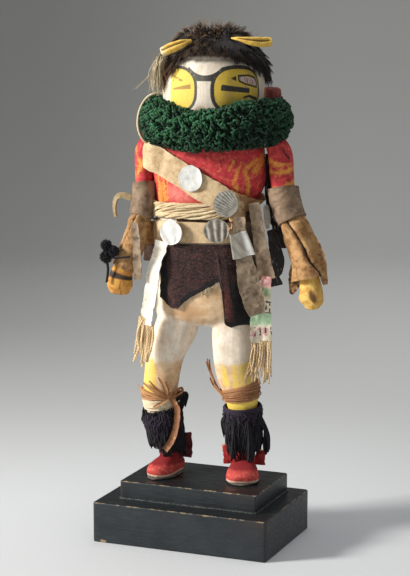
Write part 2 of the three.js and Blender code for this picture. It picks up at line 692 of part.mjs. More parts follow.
// The tin clip: a strip bent into a flat loop round the left sash.
const CLIP = { x: 34.3, y: -32.4, z: 198, width: 16, height: 20, depth: 5, wall: 0.8 };
const CLIP_LEAN = { sideways: -12 * DEG, turn: 11 * DEG };
function clip() {
  const outline = (reach) => {
    const [halfWidth, halfDepth] = [CLIP.width / 2 + reach, CLIP.depth / 2 + reach];
    const corners = [[-1, -1], [1, -1], [1, 1], [-1, 1]];
    return corners.map(([sx, sy]) => new THREE.Vector2(sx * halfWidth, sy * halfDepth));
  };
  const ring = new THREE.Shape(outline(0));
  ring.holes.push(new THREE.Path(outline(-CLIP.wall)));
  const form = new THREE.ExtrudeGeometry(ring, { depth: CLIP.height, bevelEnabled: false });
  form.translate(0, 0, -CLIP.height / 2).rotateY(CLIP_LEAN.sideways).rotateZ(CLIP_LEAN.turn);
  return form.translate(CLIP.x, CLIP.y, CLIP.z);
}

// Strips that hang between the trunk and the arms, from front to back.
const STRIPS = {
  strip_grey_left: {
    material: 'greyHide',
    facing: vec(0.2, -1, 0),
    stations: [
      { x: 42.2, y: -21.5, z: 230, w: 4.6 },
      { x: 46.3, y: -18, z: 201.2, w: 4.8 },
      { x: 50.8, y: -15, z: 173.7, w: 5.8 },
    ],
  },
  strip_brown_left: {
    material: 'darkHide',
    facing: vec(0.2, -1, 0),
    stations: [
      { x: 45, y: -12, z: 205, w: 3.6 },
      { x: 44, y: -12, z: 194, w: 4.6 },
      { x: 42, y: -11, z: 181, w: 3.8 },
    ],
  },
  strip_pale_left: {
    material: 'whiteHide',
    facing: vec(0.3, -1, 0),
    stations: [
      { x: 48.5, y: -3, z: 225, w: 1.6 },
      { x: 49.5, y: -3, z: 217, w: 2.6 },
      { x: 50, y: -3, z: 208, w: 1.6 },
    ],
  },
  ribbon_black_left: {
    material: 'blackRibbon',
    facing: vec(0.5, -1, 0),
    stations: [
      { x: 49.5, y: 6, z: 240, w: 3.2 },
      { x: 54, y: 5, z: 218, w: 5.4 },
      { x: 60, y: 4, z: 205, w: 5 },
      { x: 63, y: 3, z: 193, w: 3 },
    ],
  },
  strip_olive_left: {
    material: 'darkHide',
    facing: vec(0.1, -1, 0),
    stations: [
      { x: 56, y: 12, z: 222, w: 3 },
      { x: 57, y: 12, z: 205, w: 5.8 },
      { x: 57.7, y: 12, z: 189.4, w: 6.4 },
    ],
  },
  ribbon_curved_left: {
    material: 'blackRibbon',
    facing: vec(0.5, -1, 0),
    stations: [
      { x: 53, y: -4, z: 199, w: 2 },
      { x: 57, y: -4, z: 191, w: 3.6 },
      { x: 60.5, y: -4, z: 180, w: 3.4 },
      { x: 58, y: -4, z: 170, w: 1.6 },
      { x: 58.6, y: -4, z: 161.6, w: 4.6 },
    ],
  },
  strip_grey_right: {
    material: 'greyHide',
    facing: vec(-0.2, -1, 0),
    stations: [
      { x: -53.5, y: -26, z: 211, w: 3.2 },
      { x: -51.5, y: -27, z: 189, w: 3.4 },
      { x: -51.3, y: -27, z: 167, w: 3.1 },
    ],
  },
  strip_ochre_right: {
    material: 'ochreHide',
    facing: vec(-0.3, -1, 0),
    stations: [
      { x: -48.2, y: 0, z: 209.5, w: 4.8 },
      { x: -48.6, y: 1, z: 202, w: 5 },
      { x: -48.4, y: 1, z: 191.5, w: 4.4 },
    ],
  },
  strip_dark_right: {
    material: 'darkHide',
    facing: vec(-0.1, -1, 0),
    stations: [
      { x: -49.7, y: 6, z: 204, w: 3.6 },
      { x: -50, y: 6, z: 190, w: 4.2 },
      { x: -50.7, y: 6, z: 176.5, w: 4 },
    ],
  },
};

// --------------------------------------------------------------------------------- dress of the arms

const CUFF_RIGHT = { from: 0.28, to: 0.435, outer: (t) => 2.6 + 0.5 * t };
const CUFF_LEFT = { from: 0.3, to: 0.445, outer: (t) => 3.4 + 1.2 * t };
const WRAP_RIGHT = { from: 0.45, to: 0.69, outer: (t) => 2.3 + 1.2 * Math.sin(t * 3) };
const WRAP_LEFT = { from: 0.46, to: 0.71, outer: (t) => 2.8 + 4.2 * t };

// The left forearm wrap, with a loose fold on its outer side and a pointed tail behind the hand.
function wrapLeft() {
  const tail = strap([
    { x: 81, y: -3.6, z: 188, w: 4 },
    { x: 77, y: -3.4, z: 176, w: 8.5 },
    { x: 72, y: -4, z: 163, w: 5 },
    { x: 70, y: -4, z: 154.5, w: 1.6 },
  ], { facing: vec(0.1, -1, 0.1), steps: 4 });
  const fold = strap([
    { x: 86.5, y: -15, z: 206, w: 3 },
    { x: 94.5, y: -17, z: 188, w: 4 },
    { x: 99.5, y: -18, z: 166, w: 2.4 },
  ], { facing: vec(0.3, -1, 0), steps: 4, thickness: 2 });
  return join(sleeve(LEFT_ARM, WRAP_LEFT), tail, fold);
}

// Rawhide curl that springs from the right cuff and hooks over.
function curl() {
  return strap([
    { x: -61.3, y: -9, z: 227.5, w: 1.6 },
    { x: -65, y: -9, z: 232.2, w: 1.8 },
    { x: -70.3, y: -9, z: 233, w: 2 },
    { x: -74.5, y: -9, z: 228.8, w: 2 },
    { x: -75, y: -9, z: 221.7, w: 1.7 },
    { x: -73, y: -9, z: 214, w: 1.2 },
  ], { facing: vec(-0.4, -1, 0), steps: 10, thickness: 2.2 });
}

// Yarn pompons tied to the right wrist: three fuzzy balls, a tie and a short tail.
function pompons() {
  const balls = [[-77, 193, 4.4], [-77, 183.6, 5], [-70.8, 188.6, 4.4]].map(([x, z, radius]) =>
    new THREE.SphereGeometry(radius, 7, 5).translate(x, -28, z));
  const ties = bundle([
    [[-74, -28, 185], [-66, -30, 183.6], [-57, -29.5, 184.6]],
    [[-76.5, -28, 180], [-76, -28, 171], [-76.7, -28, 163]],
  ], 1.6);
  return join(...balls, ties);
}

// ---------------------------------------------------------------------------------- dress of the legs

// A strand on a limb through points given as [place along it, angle round it, reach]. The angle runs
// from the figure's left through its front.
const onLimb = (shape, points) => points.map(([t, angle, reach]) => {
  const { middle, side, front, w, d } = shape.frame(t);
  const [across, out] = oval(angle * DEG, w + reach, d + reach);
  return middle.clone().addScaledVector(side, -across).addScaledVector(front, out).toArray();
});

const GARTER_RIGHT = { from: 0.585, to: 0.642, outer: () => 1.7 };
const HUSK_RIGHT = { from: 0.54, to: 0.578, outer: () => 2.2 };
const HUSK_LEFT = { from: 0.5, to: 0.59, outer: () => 1.8 };
const YARN_RIGHT = { from: 0.65, to: 0.89, outer: (t) => 4.4 - 1.6 * t + 0.8 * Math.sin(t * 11) };
const YARN_LEFT = { from: 0.66, to: 0.88, outer: (t) => 5.2 - 1.2 * t + 0.9 * Math.sin(t * 9 + 1) };

// Husk tied round the right calf, its cut ends fanned out above and one long end hanging down.
function huskRight() {
  const fan = bundle([
    onLimb(RIGHT_LEG, [[0.57, 60, 1.6], [0.55, 95, 2.4], [0.52, 150, 4]]),
    onLimb(RIGHT_LEG, [[0.565, 58, 1.6], [0.53, 80, 3], [0.49, 120, 4]]),
    onLimb(RIGHT_LEG, [[0.56, 56, 1.6], [0.5, 62, 3], [0.44, 85, 3.4]]),
  ], 1.3);
  const fall = onLimb(RIGHT_LEG, [[0.56, 45, 2.2], [0.64, 38, 7.5], [0.75, 50, 9.5], [0.85, 85, 10]]);
  const tail = strap(fall.map(([x, y, z], i) => ({ x, y, z, w: i === 0 ? 2.4 : 3 })), { steps: 5 });
  return join(sleeve(RIGHT_LEG, HUSK_RIGHT), fan, tail);
}

// A band of husk slipped down round the left calf, with thin stems at its inner side.
function huskLeft() {
  const stems = bundle([
    onLimb(LEFT_LEG, [[0.53, 150, 1.6], [0.42, 165, 3.5], [0.3, 175, 5]]),
    onLimb(LEFT_LEG, [[0.52, 140, 1.6], [0.45, 158, 4], [0.49, 175, 4.5]]),
  ], 1.2);
  return join(sleeve(LEFT_LEG, HUSK_LEFT), stems);
}

const yarnRight = () => join(sleeve(RIGHT_LEG, YARN_RIGHT), bundle([
  onLimb(RIGHT_LEG, [[0.7, 150, 3.5], [0.8, 150, 5], [0.91, 150, 5]]),
  onLimb(RIGHT_LEG, [[0.7, 30, 3.5], [0.8, 30, 4.5], [0.9, 20, 4.5]]),
], 2.4));

const yarnLeft = () => join(sleeve(LEFT_LEG, YARN_LEFT), bundle([
  onLimb(LEFT_LEG, [[0.7, 150, 4], [0.74, 165, 7], [0.8, 160, 5]]),
  onLimb(LEFT_LEG, [[0.7, 110, 4], [0.8, 110, 6.5], [0.89, 115, 7]]),
  onLimb(LEFT_LEG, [[0.7, 65, 4], [0.8, 60, 7], [0.89, 60, 7]]),
  onLimb(LEFT_LEG, [[0.7, 15, 4], [0.78, 5, 9.5], [0.9, 0, 10]]),
], 2.8));

// Leather flaps of the moccasins, standing up beside the ankles: angle round the leg, foot of the
// flap and its top as places along the leg, and half width.
const ANKLE_FLAPS = {
  ankle_flap_right: {
    material: 'maroonCloth',
    leg: RIGHT_LEG,
    angle: -20,
    low: 0.975,
    high: 0.82,
    w: 4.4,
  },
  ankle_flap_left_inner: {
    material: 'redLeather',
    leg: LEFT_LEG,
    angle: 168,
    low: 0.965,
    high: 0.83,
    w: 4,
  },
  ankle_flap_left_outer: {
    material: 'redLeather',
    leg: LEFT_LEG,
    angle: -8,
    low: 0.985,
    high: 0.885,
    w: 4.4,
  },
};
function ankleFlap({ leg, angle, low, high, w }) {
  const places = onLimb(leg, [
    [low, angle, w + 1.2],
    [(low + high) / 2, angle, w + 4],
    [high, angle, w + 5.6],
  ]);
  return strap(places.map(([x, y, z], i) => ({ x, y, z, w: w * (1 - 0.12 * i) })), {
    facing: vec(0.2, -1, 0),
    steps: 3,
  });
}

// ---------------------------------------------------------------------------------------- assembly

const root = new THREE.Group();
const base = new THREE.Group();
const figure = new THREE.Group();
figure.position.set(STAND.aside, STAND.back, BASE_TOP);
figure.rotation.z = STAND.turn;
root.add(base, figure);

function add(group, name, material, geometry) {
  geometry.computeVertexNormals();
  const mesh = new THREE.Mesh(geometry, MATERIAL[material]);
  mesh.name = name;
  group.add(mesh);
  return mesh;
}

add(base, 'base_lower', 'blackPaint', lowerBlock());
const upperMesh = add(base, 'base_upper', 'blackPaint', upperBlock());
upperMesh.position.set(BASE.upper.aside, BASE.upper.back, BASE.lower.height);

add(figure, 'foot_pad_right', 'pad', footPad(RIGHT_FOOT));
add(figure, 'foot_pad_left', 'pad', footPad(LEFT_FOOT));
add(figure, 'body', 'whitePaint', bodyGeometry);
add(figure, 'arm_right', 'redPaint', cut(limbSolid(RIGHT_ARM), trunk(GAP), ruffRing(GAP)));
add(figure, 'arm_left', 'redPaint', cut(limbSolid(LEFT_ARM), trunk(GAP), ruffRing(GAP)));

add(figure, 'ruff', 'greenYarn', cut(ruffRing(), head(GAP), trunk(GAP)));
add(figure, 'fur_cap', 'fur', cut(furDome(), head(GAP)));
add(figure, 'horn_right', 'yellowHide', horn(RIGHT_HORN));
add(figure, 'horn_left', 'yellowHide', horn(LEFT_HORN));
add(figure, 'ear_left', 'redWood', ear());
add(figure, 'fibre_tuft', 'paleFibre', fibreTuft());

add(figure, 'waist_cord', 'creamCord', cut(waistCord(), limbSolid(RIGHT_ARM, { grow: 3.6 })));
add(figure, 'belt', 'tanLeather', belt());
add(figure, 'bandolier', 'tanLeather', bandolier());
add(figure, 'kilt', 'darkWool', kilt());
Object.entries(DISCS).forEach(([name, spec]) => add(figure, name, 'tin', disc(spec)));

add(figure, 'sash_right', 'whiteHide', sashRight());
add(figure, 'sash_left', 'greyHide', sashLeft());
add(figure, 'sash_left_end', 'printedCloth', sashEnd());
add(figure, 'tin_clip', 'tin', clip());
Object.entries(STRIPS).forEach(([name, { material, facing, stations }]) =>
  add(figure, name, material, strap(stations, { facing, steps: 5 })));

add(figure, 'cuff_right', 'greyHide', cut(sleeve(RIGHT_ARM, CUFF_RIGHT), trunk(GAP)));
add(figure, 'cuff_left', 'greyHide', sleeve(LEFT_ARM, CUFF_LEFT));
add(figure, 'forearm_wrap_right', 'tanLeather', sleeve(RIGHT_ARM, WRAP_RIGHT));
add(figure, 'forearm_wrap_left', 'tanLeather', wrapLeft());
add(figure, 'rawhide_curl', 'ochreHide', curl());
add(figure, 'yarn_pompons', 'navyYarn', pompons());

add(figure, 'garter_right', 'tanLeather', sleeve(RIGHT_LEG, GARTER_RIGHT));
add(figure, 'husk_tie_right', 'huskBrown', huskRight());
add(figure, 'husk_band_left', 'huskBrown', huskLeft());
add(figure, 'yarn_wrap_right', 'navyYarn', yarnRight());
add(figure, 'yarn_wrap_left', 'navyYarn', yarnLeft());
Object.entries(ANKLE_FLAPS).forEach(([name, spec]) =>
  add(figure, name, spec.material, ankleFlap(spec)));

export default root;
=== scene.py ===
"""Kachina doll: the finish of every piece, built round the doll's solid model.

The doll's own frame is in millimetres on top of the base: x to the figure's left, y to its back and
z up. It is turned a little on the base, and `placed` takes its points to the row frame in metres.
"Right" and "left" in names are the figure's own.
"""
import math

import bpy
import numpy as np
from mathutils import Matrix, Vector


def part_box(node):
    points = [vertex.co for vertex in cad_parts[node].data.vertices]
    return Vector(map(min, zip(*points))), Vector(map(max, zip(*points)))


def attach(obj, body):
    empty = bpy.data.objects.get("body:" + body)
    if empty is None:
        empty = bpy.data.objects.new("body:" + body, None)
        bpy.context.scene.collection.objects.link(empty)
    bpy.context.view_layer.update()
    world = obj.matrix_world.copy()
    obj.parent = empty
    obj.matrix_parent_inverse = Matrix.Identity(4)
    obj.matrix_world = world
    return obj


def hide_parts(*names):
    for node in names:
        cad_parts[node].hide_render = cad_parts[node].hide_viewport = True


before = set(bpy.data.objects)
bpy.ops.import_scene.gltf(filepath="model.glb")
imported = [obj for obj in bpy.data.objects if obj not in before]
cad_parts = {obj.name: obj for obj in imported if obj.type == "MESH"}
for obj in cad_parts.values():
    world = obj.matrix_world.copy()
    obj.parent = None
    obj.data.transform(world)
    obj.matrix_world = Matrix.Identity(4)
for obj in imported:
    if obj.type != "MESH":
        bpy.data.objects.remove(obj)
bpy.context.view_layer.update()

MM = 0.001
TURN = math.radians(10)
STAND = (0.0, 12.0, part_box("base_upper")[1].z / MM)
GAP = 0.3  # clear of the wood under what is worn on it

# ------------------------------------------------------------------------------ numbers and curves


def placed(points):
    """Figure millimetres to metres in the row frame: a turn about Z, then a shift onto the base."""
    p = np.asarray(points, float)
    c, s = math.cos(TURN), math.sin(TURN)
    x = p[..., 0] * c - p[..., 1] * s + STAND[0]
    y = p[..., 0] * s + p[..., 1] * c + STAND[1]
    return xyz(x, y, p[..., 2] + STAND[2]) * MM


def xyz(x, y, z):
    """Points whose coordinates are arrays or numbers, spread to one shape."""
    return np.stack(np.broadcast_arrays(x, y, z), -1)


def smooth_at(knots, values, at):
    """Cubic curve through `values` at the rising `knots`, its slopes taken from their neighbours."""
    knots, values, at = (np.asarray(a, float) for a in (knots, values, at))
    slopes = np.gradient(values, knots, axis=0)
    i = np.clip(np.searchsorted(knots, at, side="right") - 1, 0, len(knots) - 2)
    span = knots[i + 1] - knots[i]
    f = np.clip((at - knots[i]) / span, 0, 1)
    if values.ndim > 1:
        span, f = span[..., None], f[..., None]
    f2, f3 = f * f, f * f * f
    start, end = values[i], values[i + 1]
    return (
        (2 * f3 - 3 * f2 + 1) * start
        + (f3 - 2 * f2 + f) * span * slopes[i]
        + (3 * f2 - 2 * f3) * end
        + (f3 - f2) * span * slopes[i + 1]
    )


def shares(count):
    return np.linspace(0, 1, count)


def along(stations, t):
    """Smooth values at shares t, from 0 to 1, of the way through evenly counted stations."""
    return smooth_at(np.linspace(0, 1, len(stations)), stations, t)


def unit(v):
    return v / np.maximum(np.linalg.norm(v, axis=-1, keepdims=True), 1e-9)


def step(low, high, value):
    """0 below low, 1 above high, and a smooth S between."""
    f = np.clip((value - low) / (high - low), 0, 1)
    return f * f * (3 - 2 * f)


def oval(angle, half_width, half_depth, squareness=2.0):
    """Point of a rounded-square outline at an angle from +x; squareness 2 is an ellipse."""
    c, s = np.cos(angle), np.sin(angle)
    power = 2 / squareness
    return (
        half_width * np.sign(c) * np.abs(c) ** power,
        half_depth * np.sign(s) * np.abs(s) ** power,
    )


def noise(points, size, seed=0):
    """Smooth value from -1 to 1: hashed corners of a cubic lattice of that size, blended."""
    p = np.asarray(points, float) / size + seed * 7.31
    low = np.floor(p).astype(np.int64)
    f = p - low
    f = f * f * (3 - 2 * f)
    total = 0.0
    for corner in np.ndindex(2, 2, 2):
        q = low + corner
        h = q[..., 0] * 73856093 ^ q[..., 1] * 19349663 ^ q[..., 2] * 83492791 ^ seed * 2654435761
        h = (h ^ (h >> 13)) * 1274126177 & 0x7FFFFFFF
        h = (h ^ (h >> 11)) & 0xFFFF
        weight = np.prod([f[..., k] if corner[k] else 1 - f[..., k] for k in range(3)], axis=0)
        total = total + weight * (h / 32767.5 - 1)
    return total


def frames(path, facing):
    """Side and front along a path (K, 3). Side is tangent x facing, and front is side x tangent."""
    tangent = unit(np.gradient(path, axis=0))
    side = unit(np.cross(tangent, np.broadcast_to(np.asarray(facing, float), path.shape)))
    return side, unit(np.cross(side, tangent))


# ------------------------------------------------------------------------------------ mesh building


def lattice(rows, cols, wrap_rows=False, wrap_cols=False, size=(1.0, 1.0)):
    """Corner numbers (n, 4) and corner UVs (n, 4, 2) of the quads on a lattice of rows x cols."""
    r, c = np.meshgrid(
        np.arange(rows if wrap_rows else rows - 1),
        np.arange(cols if wrap_cols else cols - 1),
        indexing="ij",
    )
    r, c = r.ravel(), c.ravel()
    r2, c2 = (r + 1) % rows, (c + 1) % cols
    quads = np.stack([r * cols + c, r2 * cols + c, r2 * cols + c2, r * cols + c2], -1)
    du = size[0] / (cols if wrap_cols else cols - 1)
    dv = size[1] / (rows if wrap_rows else rows - 1)
    u, v = c * du, r * dv
    uv = np.stack([np.stack([u, u, u + du, u + du], -1), np.stack([v, v + dv, v + dv, v], -1)], -1)
    return quads, uv


def end_fans(rows, cols):
    """Triangles from two hub points, numbered after the rings, that close both ends of a tube."""
    j = np.arange(cols)
    after, hub = (j + 1) % cols, rows * cols
    first = np.stack([np.full(cols, hub), j, after], -1)
    last = np.stack([np.full(cols, hub + 1), hub - cols + after, hub - cols + j], -1)
    return np.concatenate([first, last])


class Shape:
    """Closed shells gathered into one mesh: points, quads, triangles, corner UVs, point values."""

    def __init__(self):
        self.points, self.quads, self.quad_uv, self.tris = [], [], [], []
        self.values, self.count = {}, 0

    def add(self, points, quads, quad_uv, tris=None, **values):
        """Adds a shell, turned so that its faces point outward."""
        points = np.asarray(points, float).reshape(-1, 3)
        tris = np.zeros((0, 3), int) if tris is None else tris
        a, b, c, d = (points[quads[:, k]] for k in range(4))
        volume = np.einsum("ij,ij->", a, np.cross(b, c)) + np.einsum("ij,ij->", a, np.cross(c, d))
        a, b, c = (points[tris[:, k]] for k in range(3))
        volume += np.einsum("ij,ij->", a, np.cross(b, c))
        if volume < 0:
            quads, quad_uv, tris = quads[:, ::-1], quad_uv[:, ::-1], tris[:, ::-1]
        self.points.append(points)
        self.quads.append(quads + self.count)
        self.quad_uv.append(quad_uv)
        self.tris.append(tris + self.count)
        for name, value in values.items():
            full = np.broadcast_to(np.asarray(value, float).ravel(), len(points))
            self.values.setdefault(name, []).append((self.count, full))
        self.count += len(points)
        return self

    def tube(self, rings, size=(1.0, 1.0), **values):
        """Rings (K, S, 3) skinned from end to end, with a fan of triangles over each end."""
        k, s = rings.shape[:2]
        quads, uv = lattice(k, s, wrap_cols=True, size=size)
        hubs = np.stack([rings[0].mean(0), rings[-1].mean(0)])
        ends = {n: np.append(np.broadcast_to(v, (k, s)).ravel(), [np.mean(v)] * 2)
                for n, v in values.items()}
        return self.add(np.concatenate([rings.reshape(-1, 3), hubs]), quads, uv, end_fans(k, s), **ends)

    def strands(self, paths, radii, sides, **values):
        """Thin tubes along paths (N, K, 3) with radii (N, K), each closed by fans at both ends.

        Values are one for each strand. The point value "along" runs from 0 at the root to 1."""
        n, k = paths.shape[:2]
        tangent = unit(np.gradient(paths, axis=1))
        mean = unit(tangent.mean(1))
        helper = np.where(np.abs(mean[:, 2:3]) < 0.8, [[0.0, 0.0, 1.0]], [[1.0, 0.0, 0.0]])
        side = unit(np.cross(tangent, np.broadcast_to(helper[:, None], tangent.shape)))
        front = np.cross(tangent, side)
        turn = np.arange(sides) / sides * 2 * np.pi
        rings = (
            paths[:, :, None]
            + side[:, :, None] * (radii[..., None] * np.cos(turn))[..., None]
            + front[:, :, None] * (radii[..., None] * np.sin(turn))[..., None]
        )
        points = np.concatenate([rings.reshape(n, -1, 3), paths[:, :1], paths[:, -1:]], 1)
        per = k * sides + 2
        quads, uv = lattice(k, sides, wrap_cols=True)
        start = (np.arange(n) * per)[:, None, None]
        length = np.linalg.norm(np.diff(paths, axis=1), axis=-1).sum(1)
        uv = np.broadcast_to(uv, (n, *uv.shape)).copy()
        uv[..., 1] *= length[:, None, None]
        share = np.append(np.repeat(shares(k), sides), [0, 1])
        spread = {name: np.repeat(np.broadcast_to(v, n), per) for name, v in values.items()}
        tris = (end_fans(k, sides) + start).reshape(-1, 3)
        return self.add(points, (quads + start).reshape(-1, 4), uv.reshape(-1, 4, 2), tris,
                        along=np.tile(share, n), **spread)

    def slab(self, outer, inner, around=False, size=None, **values):
        """Thin solid between two grids (K, M, 3); `around` joins its first and last columns."""
        k, m = outer.shape[:2]
        if size is None:
            size = (
                np.linalg.norm(np.diff(outer, axis=1), axis=-1).sum(1).mean(),
                np.linalg.norm(np.diff(outer, axis=0), axis=-1).sum(0).mean(),
            )
        quads, uv = lattice(k, m, wrap_cols=around, size=size)
        back = k * m
        row = np.arange(m if around else m - 1)
        nxt = (row + 1) % m
        walls = [
            np.stack([row, nxt, nxt + back, row + back], -1),
            np.stack([row + back, nxt + back, nxt, row], -1) + (k - 1) * m,
        ]
        if not around:
            col = np.arange(k - 1) * m
            walls += [
                np.stack([col + back, col + m + back, col + m, col], -1),
                np.stack([col, col + m, col + m + back, col + back], -1) + m - 1,
            ]
        walls = np.concatenate(walls)
        flat_uv = np.concatenate([np.stack(np.meshgrid(
            np.linspace(0, size[0], m), np.linspace(0, size[1], k)), -1).reshape(-1, 2)] * 2)
        all_quads = np.concatenate([quads, quads[:, ::-1] + back, walls])
        all_uv = np.concatenate([uv, uv[:, ::-1], flat_uv[walls]])
        points = np.concatenate([outer.reshape(-1, 3), inner.reshape(-1, 3)])
        both = {n: np.tile(np.broadcast_to(v, (k, m)).ravel(), 2) for n, v in values.items()}
        return self.add(points, all_quads, all_uv, **both)

    def build(self, name, sharp=None, in_metres=False):
        """The finished object, riding on the doll. Faces are smooth up to the angle `sharp`."""
        points = np.concatenate(self.points)
        quads, tris = np.concatenate(self.quads), np.concatenate(self.tris)
        mesh = bpy.data.meshes.new(name)
        mesh.vertices.add(len(points))
        where = points if in_metres else placed(points)
        mesh.vertices.foreach_set("co", where.astype(np.float32).ravel())
        corners = np.concatenate([quads.ravel(), tris.ravel()])
        mesh.loops.add(len(corners))
        mesh.loops.foreach_set("vertex_index", corners.astype(np.int32))
        sizes = np.concatenate([np.full(len(quads), 4), np.full(len(tris), 3)])
        mesh.polygons.add(len(sizes))
        starts = np.concatenate([[0], np.cumsum(sizes)[:-1]])
        mesh.polygons.foreach_set("loop_start", starts.astype(np.int32))
        mesh.polygons.foreach_set("loop_total", sizes.astype(np.int32))
        mesh.polygons.foreach_set("use_smooth", np.ones(len(sizes), bool))
        uv = np.concatenate([np.concatenate(self.quad_uv).reshape(-1, 2), np.zeros((tris.size, 2))])
        mesh.uv_layers.new(name="UVMap").data.foreach_set("uv", uv.astype(np.float32).ravel())
        for key, parts in self.values.items():
            full = np.zeros(len(points), np.float32)
            for start, value in parts:
                full[start:start + len(value)] = value
            mesh.attributes.new(key, "FLOAT", "POINT").data.foreach_set("value", full)
        mesh.update(calc_edges=True)
        mesh.validate()
        if sharp is not None:
            mesh.set_sharp_from_angle(angle=math.radians(sharp))
        thing = bpy.data.objects.new(name, mesh)
        bpy.context.scene.collection.objects.link(thing)
        return thing


def finish_piece(thing, material, slot, *nodes):
    """Gives a piece its material, lets it stand for its CAD nodes and ride on the doll. The slot is not used.
    """
    thing.data.materials.clear()
    thing.data.materials.append(material)
    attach(thing, "root")
    if nodes:
        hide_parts(*nodes)
    return thing


# ------------------------------------------------------------------------------ material building


class Graph:
    """A node tree written in short calls. An input is a number, a colour or another node's output."""

    def __init__(self, tree):
        self.tree = tree

    def put(self, socket, value):
        """Links another node's output to a socket, or sets the number or colour on it."""
        if isinstance(value, bpy.types.NodeSocket):
            self.tree.links.new(value, socket)
        else:
            socket.default_value = (*value, 1.0) if socket.type == "RGBA" else value

    def node(self, kind, inputs=None, **settings):
        made = self.tree.nodes.new(kind)
        for key, value in settings.items():
            setattr(made, key, value)
        for key, value in (inputs or {}).items():
            self.put(made.inputs[key], value)
        return made

    def value(self, name):
        """A point value of the mesh."""
        return self.node("ShaderNodeAttribute", attribute_name=name).outputs["Fac"]

    def where(self, scale=(1, 1, 1), turn=(0, 0, 0)):
        """Object coordinates in millimetres, stretched by `scale`."""
        place = self.node("ShaderNodeTexCoord").outputs["Object"]
        return self.node("ShaderNodeMapping", {
            "Vector": place, "Scale": [s / MM for s in scale], "Rotation": turn}).outputs[0]

    def uv(self, scale=(1, 1, 1)):
        """The piece's own UV, which runs in millimetres."""
        flat = self.node("ShaderNodeUVMap", uv_map="UVMap").outputs[0]
        return self.node("ShaderNodeMapping", {"Vector": flat, "Scale": scale}).outputs[0]

    def noise(self, vector, size, detail=3.0, rough=0.55, warp=0.0):
        return self.node("ShaderNodeTexNoise", {
            "Vector": vector, "Scale": 1 / size, "Detail": detail, "Roughness": rough, "Distortion": warp,
        }).outputs["Fac"]

    def cells(self, vector, size, feature="F1"):
        return self.node("ShaderNodeTexVoronoi", {"Vector": vector, "Scale": 1 / size},
                         feature=feature).outputs["Distance"]

    def weave(self, size, warp=0.0):
        """Threads that cross along the piece's own UV."""
        return self.math("MAXIMUM", *(self.node("ShaderNodeTexWave", {
            "Vector": self.uv(), "Scale": math.pi / 10 / size, "Distortion": warp,
        }, bands_direction=axis).outputs["Fac"] for axis in "XY"))

    def math(self, do, a, b=0.0):
        return self.node("ShaderNodeMath", {0: a, 1: b}, operation=do).outputs[0]

    def times(self, a, b):
        return self.math("MULTIPLY", a, b)

    def plus(self, a, b):
        return self.math("ADD", a, b)

    def minus(self, a, b):
        return self.math("SUBTRACT", a, b)

    def length(self, vector):
        return self.node("ShaderNodeVectorMath", {0: vector}, operation="LENGTH").outputs["Value"]

    def span(self, value, low, high, to_low=0.0, to_high=1.0):
        """Value from low to high made to run from to_low to to_high, eased and held at both ends."""
        return self.node("ShaderNodeMapRange", {
            "Value": value, "From Min": low, "From Max": high, "To Min": to_low, "To Max": to_high,
        }, interpolation_type="SMOOTHSTEP").outputs[0]

    def blend(self, share, a, b):
        """Colour a going to colour b as share goes from 0 to 1."""
        return self.node("ShaderNodeMix", {0: share, 6: a, 7: b}, data_type="RGBA").outputs[2]

    def coat(self, under, share, amount, over):
        """A colour laid over another where share is 1, as thick as `amount`."""
        return self.blend(self.times(share, amount), under, over)

    def bump(self, height, strength, distance=0.4):
        """Normal tilted by a height; distance is in millimetres."""
        return self.node("ShaderNodeBump", {
            "Height": height, "Strength": strength, "Distance": distance * MM}).outputs[0]

    def use(self, group, **inputs):
        """One of the shared effects, with this material's own values."""
        sockets = {key.replace("_", " "): value for key, value in inputs.items()}
        return self.node("ShaderNodeGroup", sockets, node_tree=group).outputs


def effect(name, inputs, outputs):
    """An empty node group with named sockets, and the graph to fill it by."""
    tree = bpy.data.node_groups.new(name, "ShaderNodeTree")
    kinds = {"f": "NodeSocketFloat", "c": "NodeSocketColor", "v": "NodeSocketVector"}
    for key, kind in inputs.items():
        tree.interface.new_socket(key, in_out="INPUT", socket_type=kinds[kind])
    for key, kind in outputs.items():
        tree.interface.new_socket(key, in_out="OUTPUT", socket_type=kinds[kind])
    graph = Graph(tree)
    entry = graph.node("NodeGroupInput").outputs
    leave = graph.node("NodeGroupOutput")
    return tree, graph, entry, leave


def close_effect(graph, leave, **outputs):
    for key, value in outputs.items():
        graph.tree.links.new(value, leave.inputs[key])


def new_material(name, roughness=0.7, **sockets):
    """A material with one Principled BSDF, and its graph. Constant values go straight on the shader."""
    made = bpy.data.materials.new(name)
    made.use_nodes = True
    graph = Graph(made.node_tree)
    shader = made.node_tree.nodes["Principled BSDF"]
    shader.inputs["Roughness"].default_value = roughness
    for key, value in sockets.items():
        shader.inputs[key.replace("_", " ")].default_value = value
    return made, graph, shader


def join_up(graph, shader, color, roughness=None, normal=None):
    """Links the finished colour, roughness and normal to the shader."""
    for key, value in (("Base Color", color), ("Roughness", roughness), ("Normal", normal)):
        if value is not None:
            graph.tree.links.new(value, shader.inputs[key])


def rgb(red, green, blue):
    """A colour as it looks on screen, 0 to 255, made linear."""
    return tuple(
        c / 12.92 if c <= 0.04045 else ((c + 0.055) / 1.055) ** 2.4
        for c in (red / 255, green / 255, blue / 255)
    )


# --------------------------------------------------------------------------------- shared effects


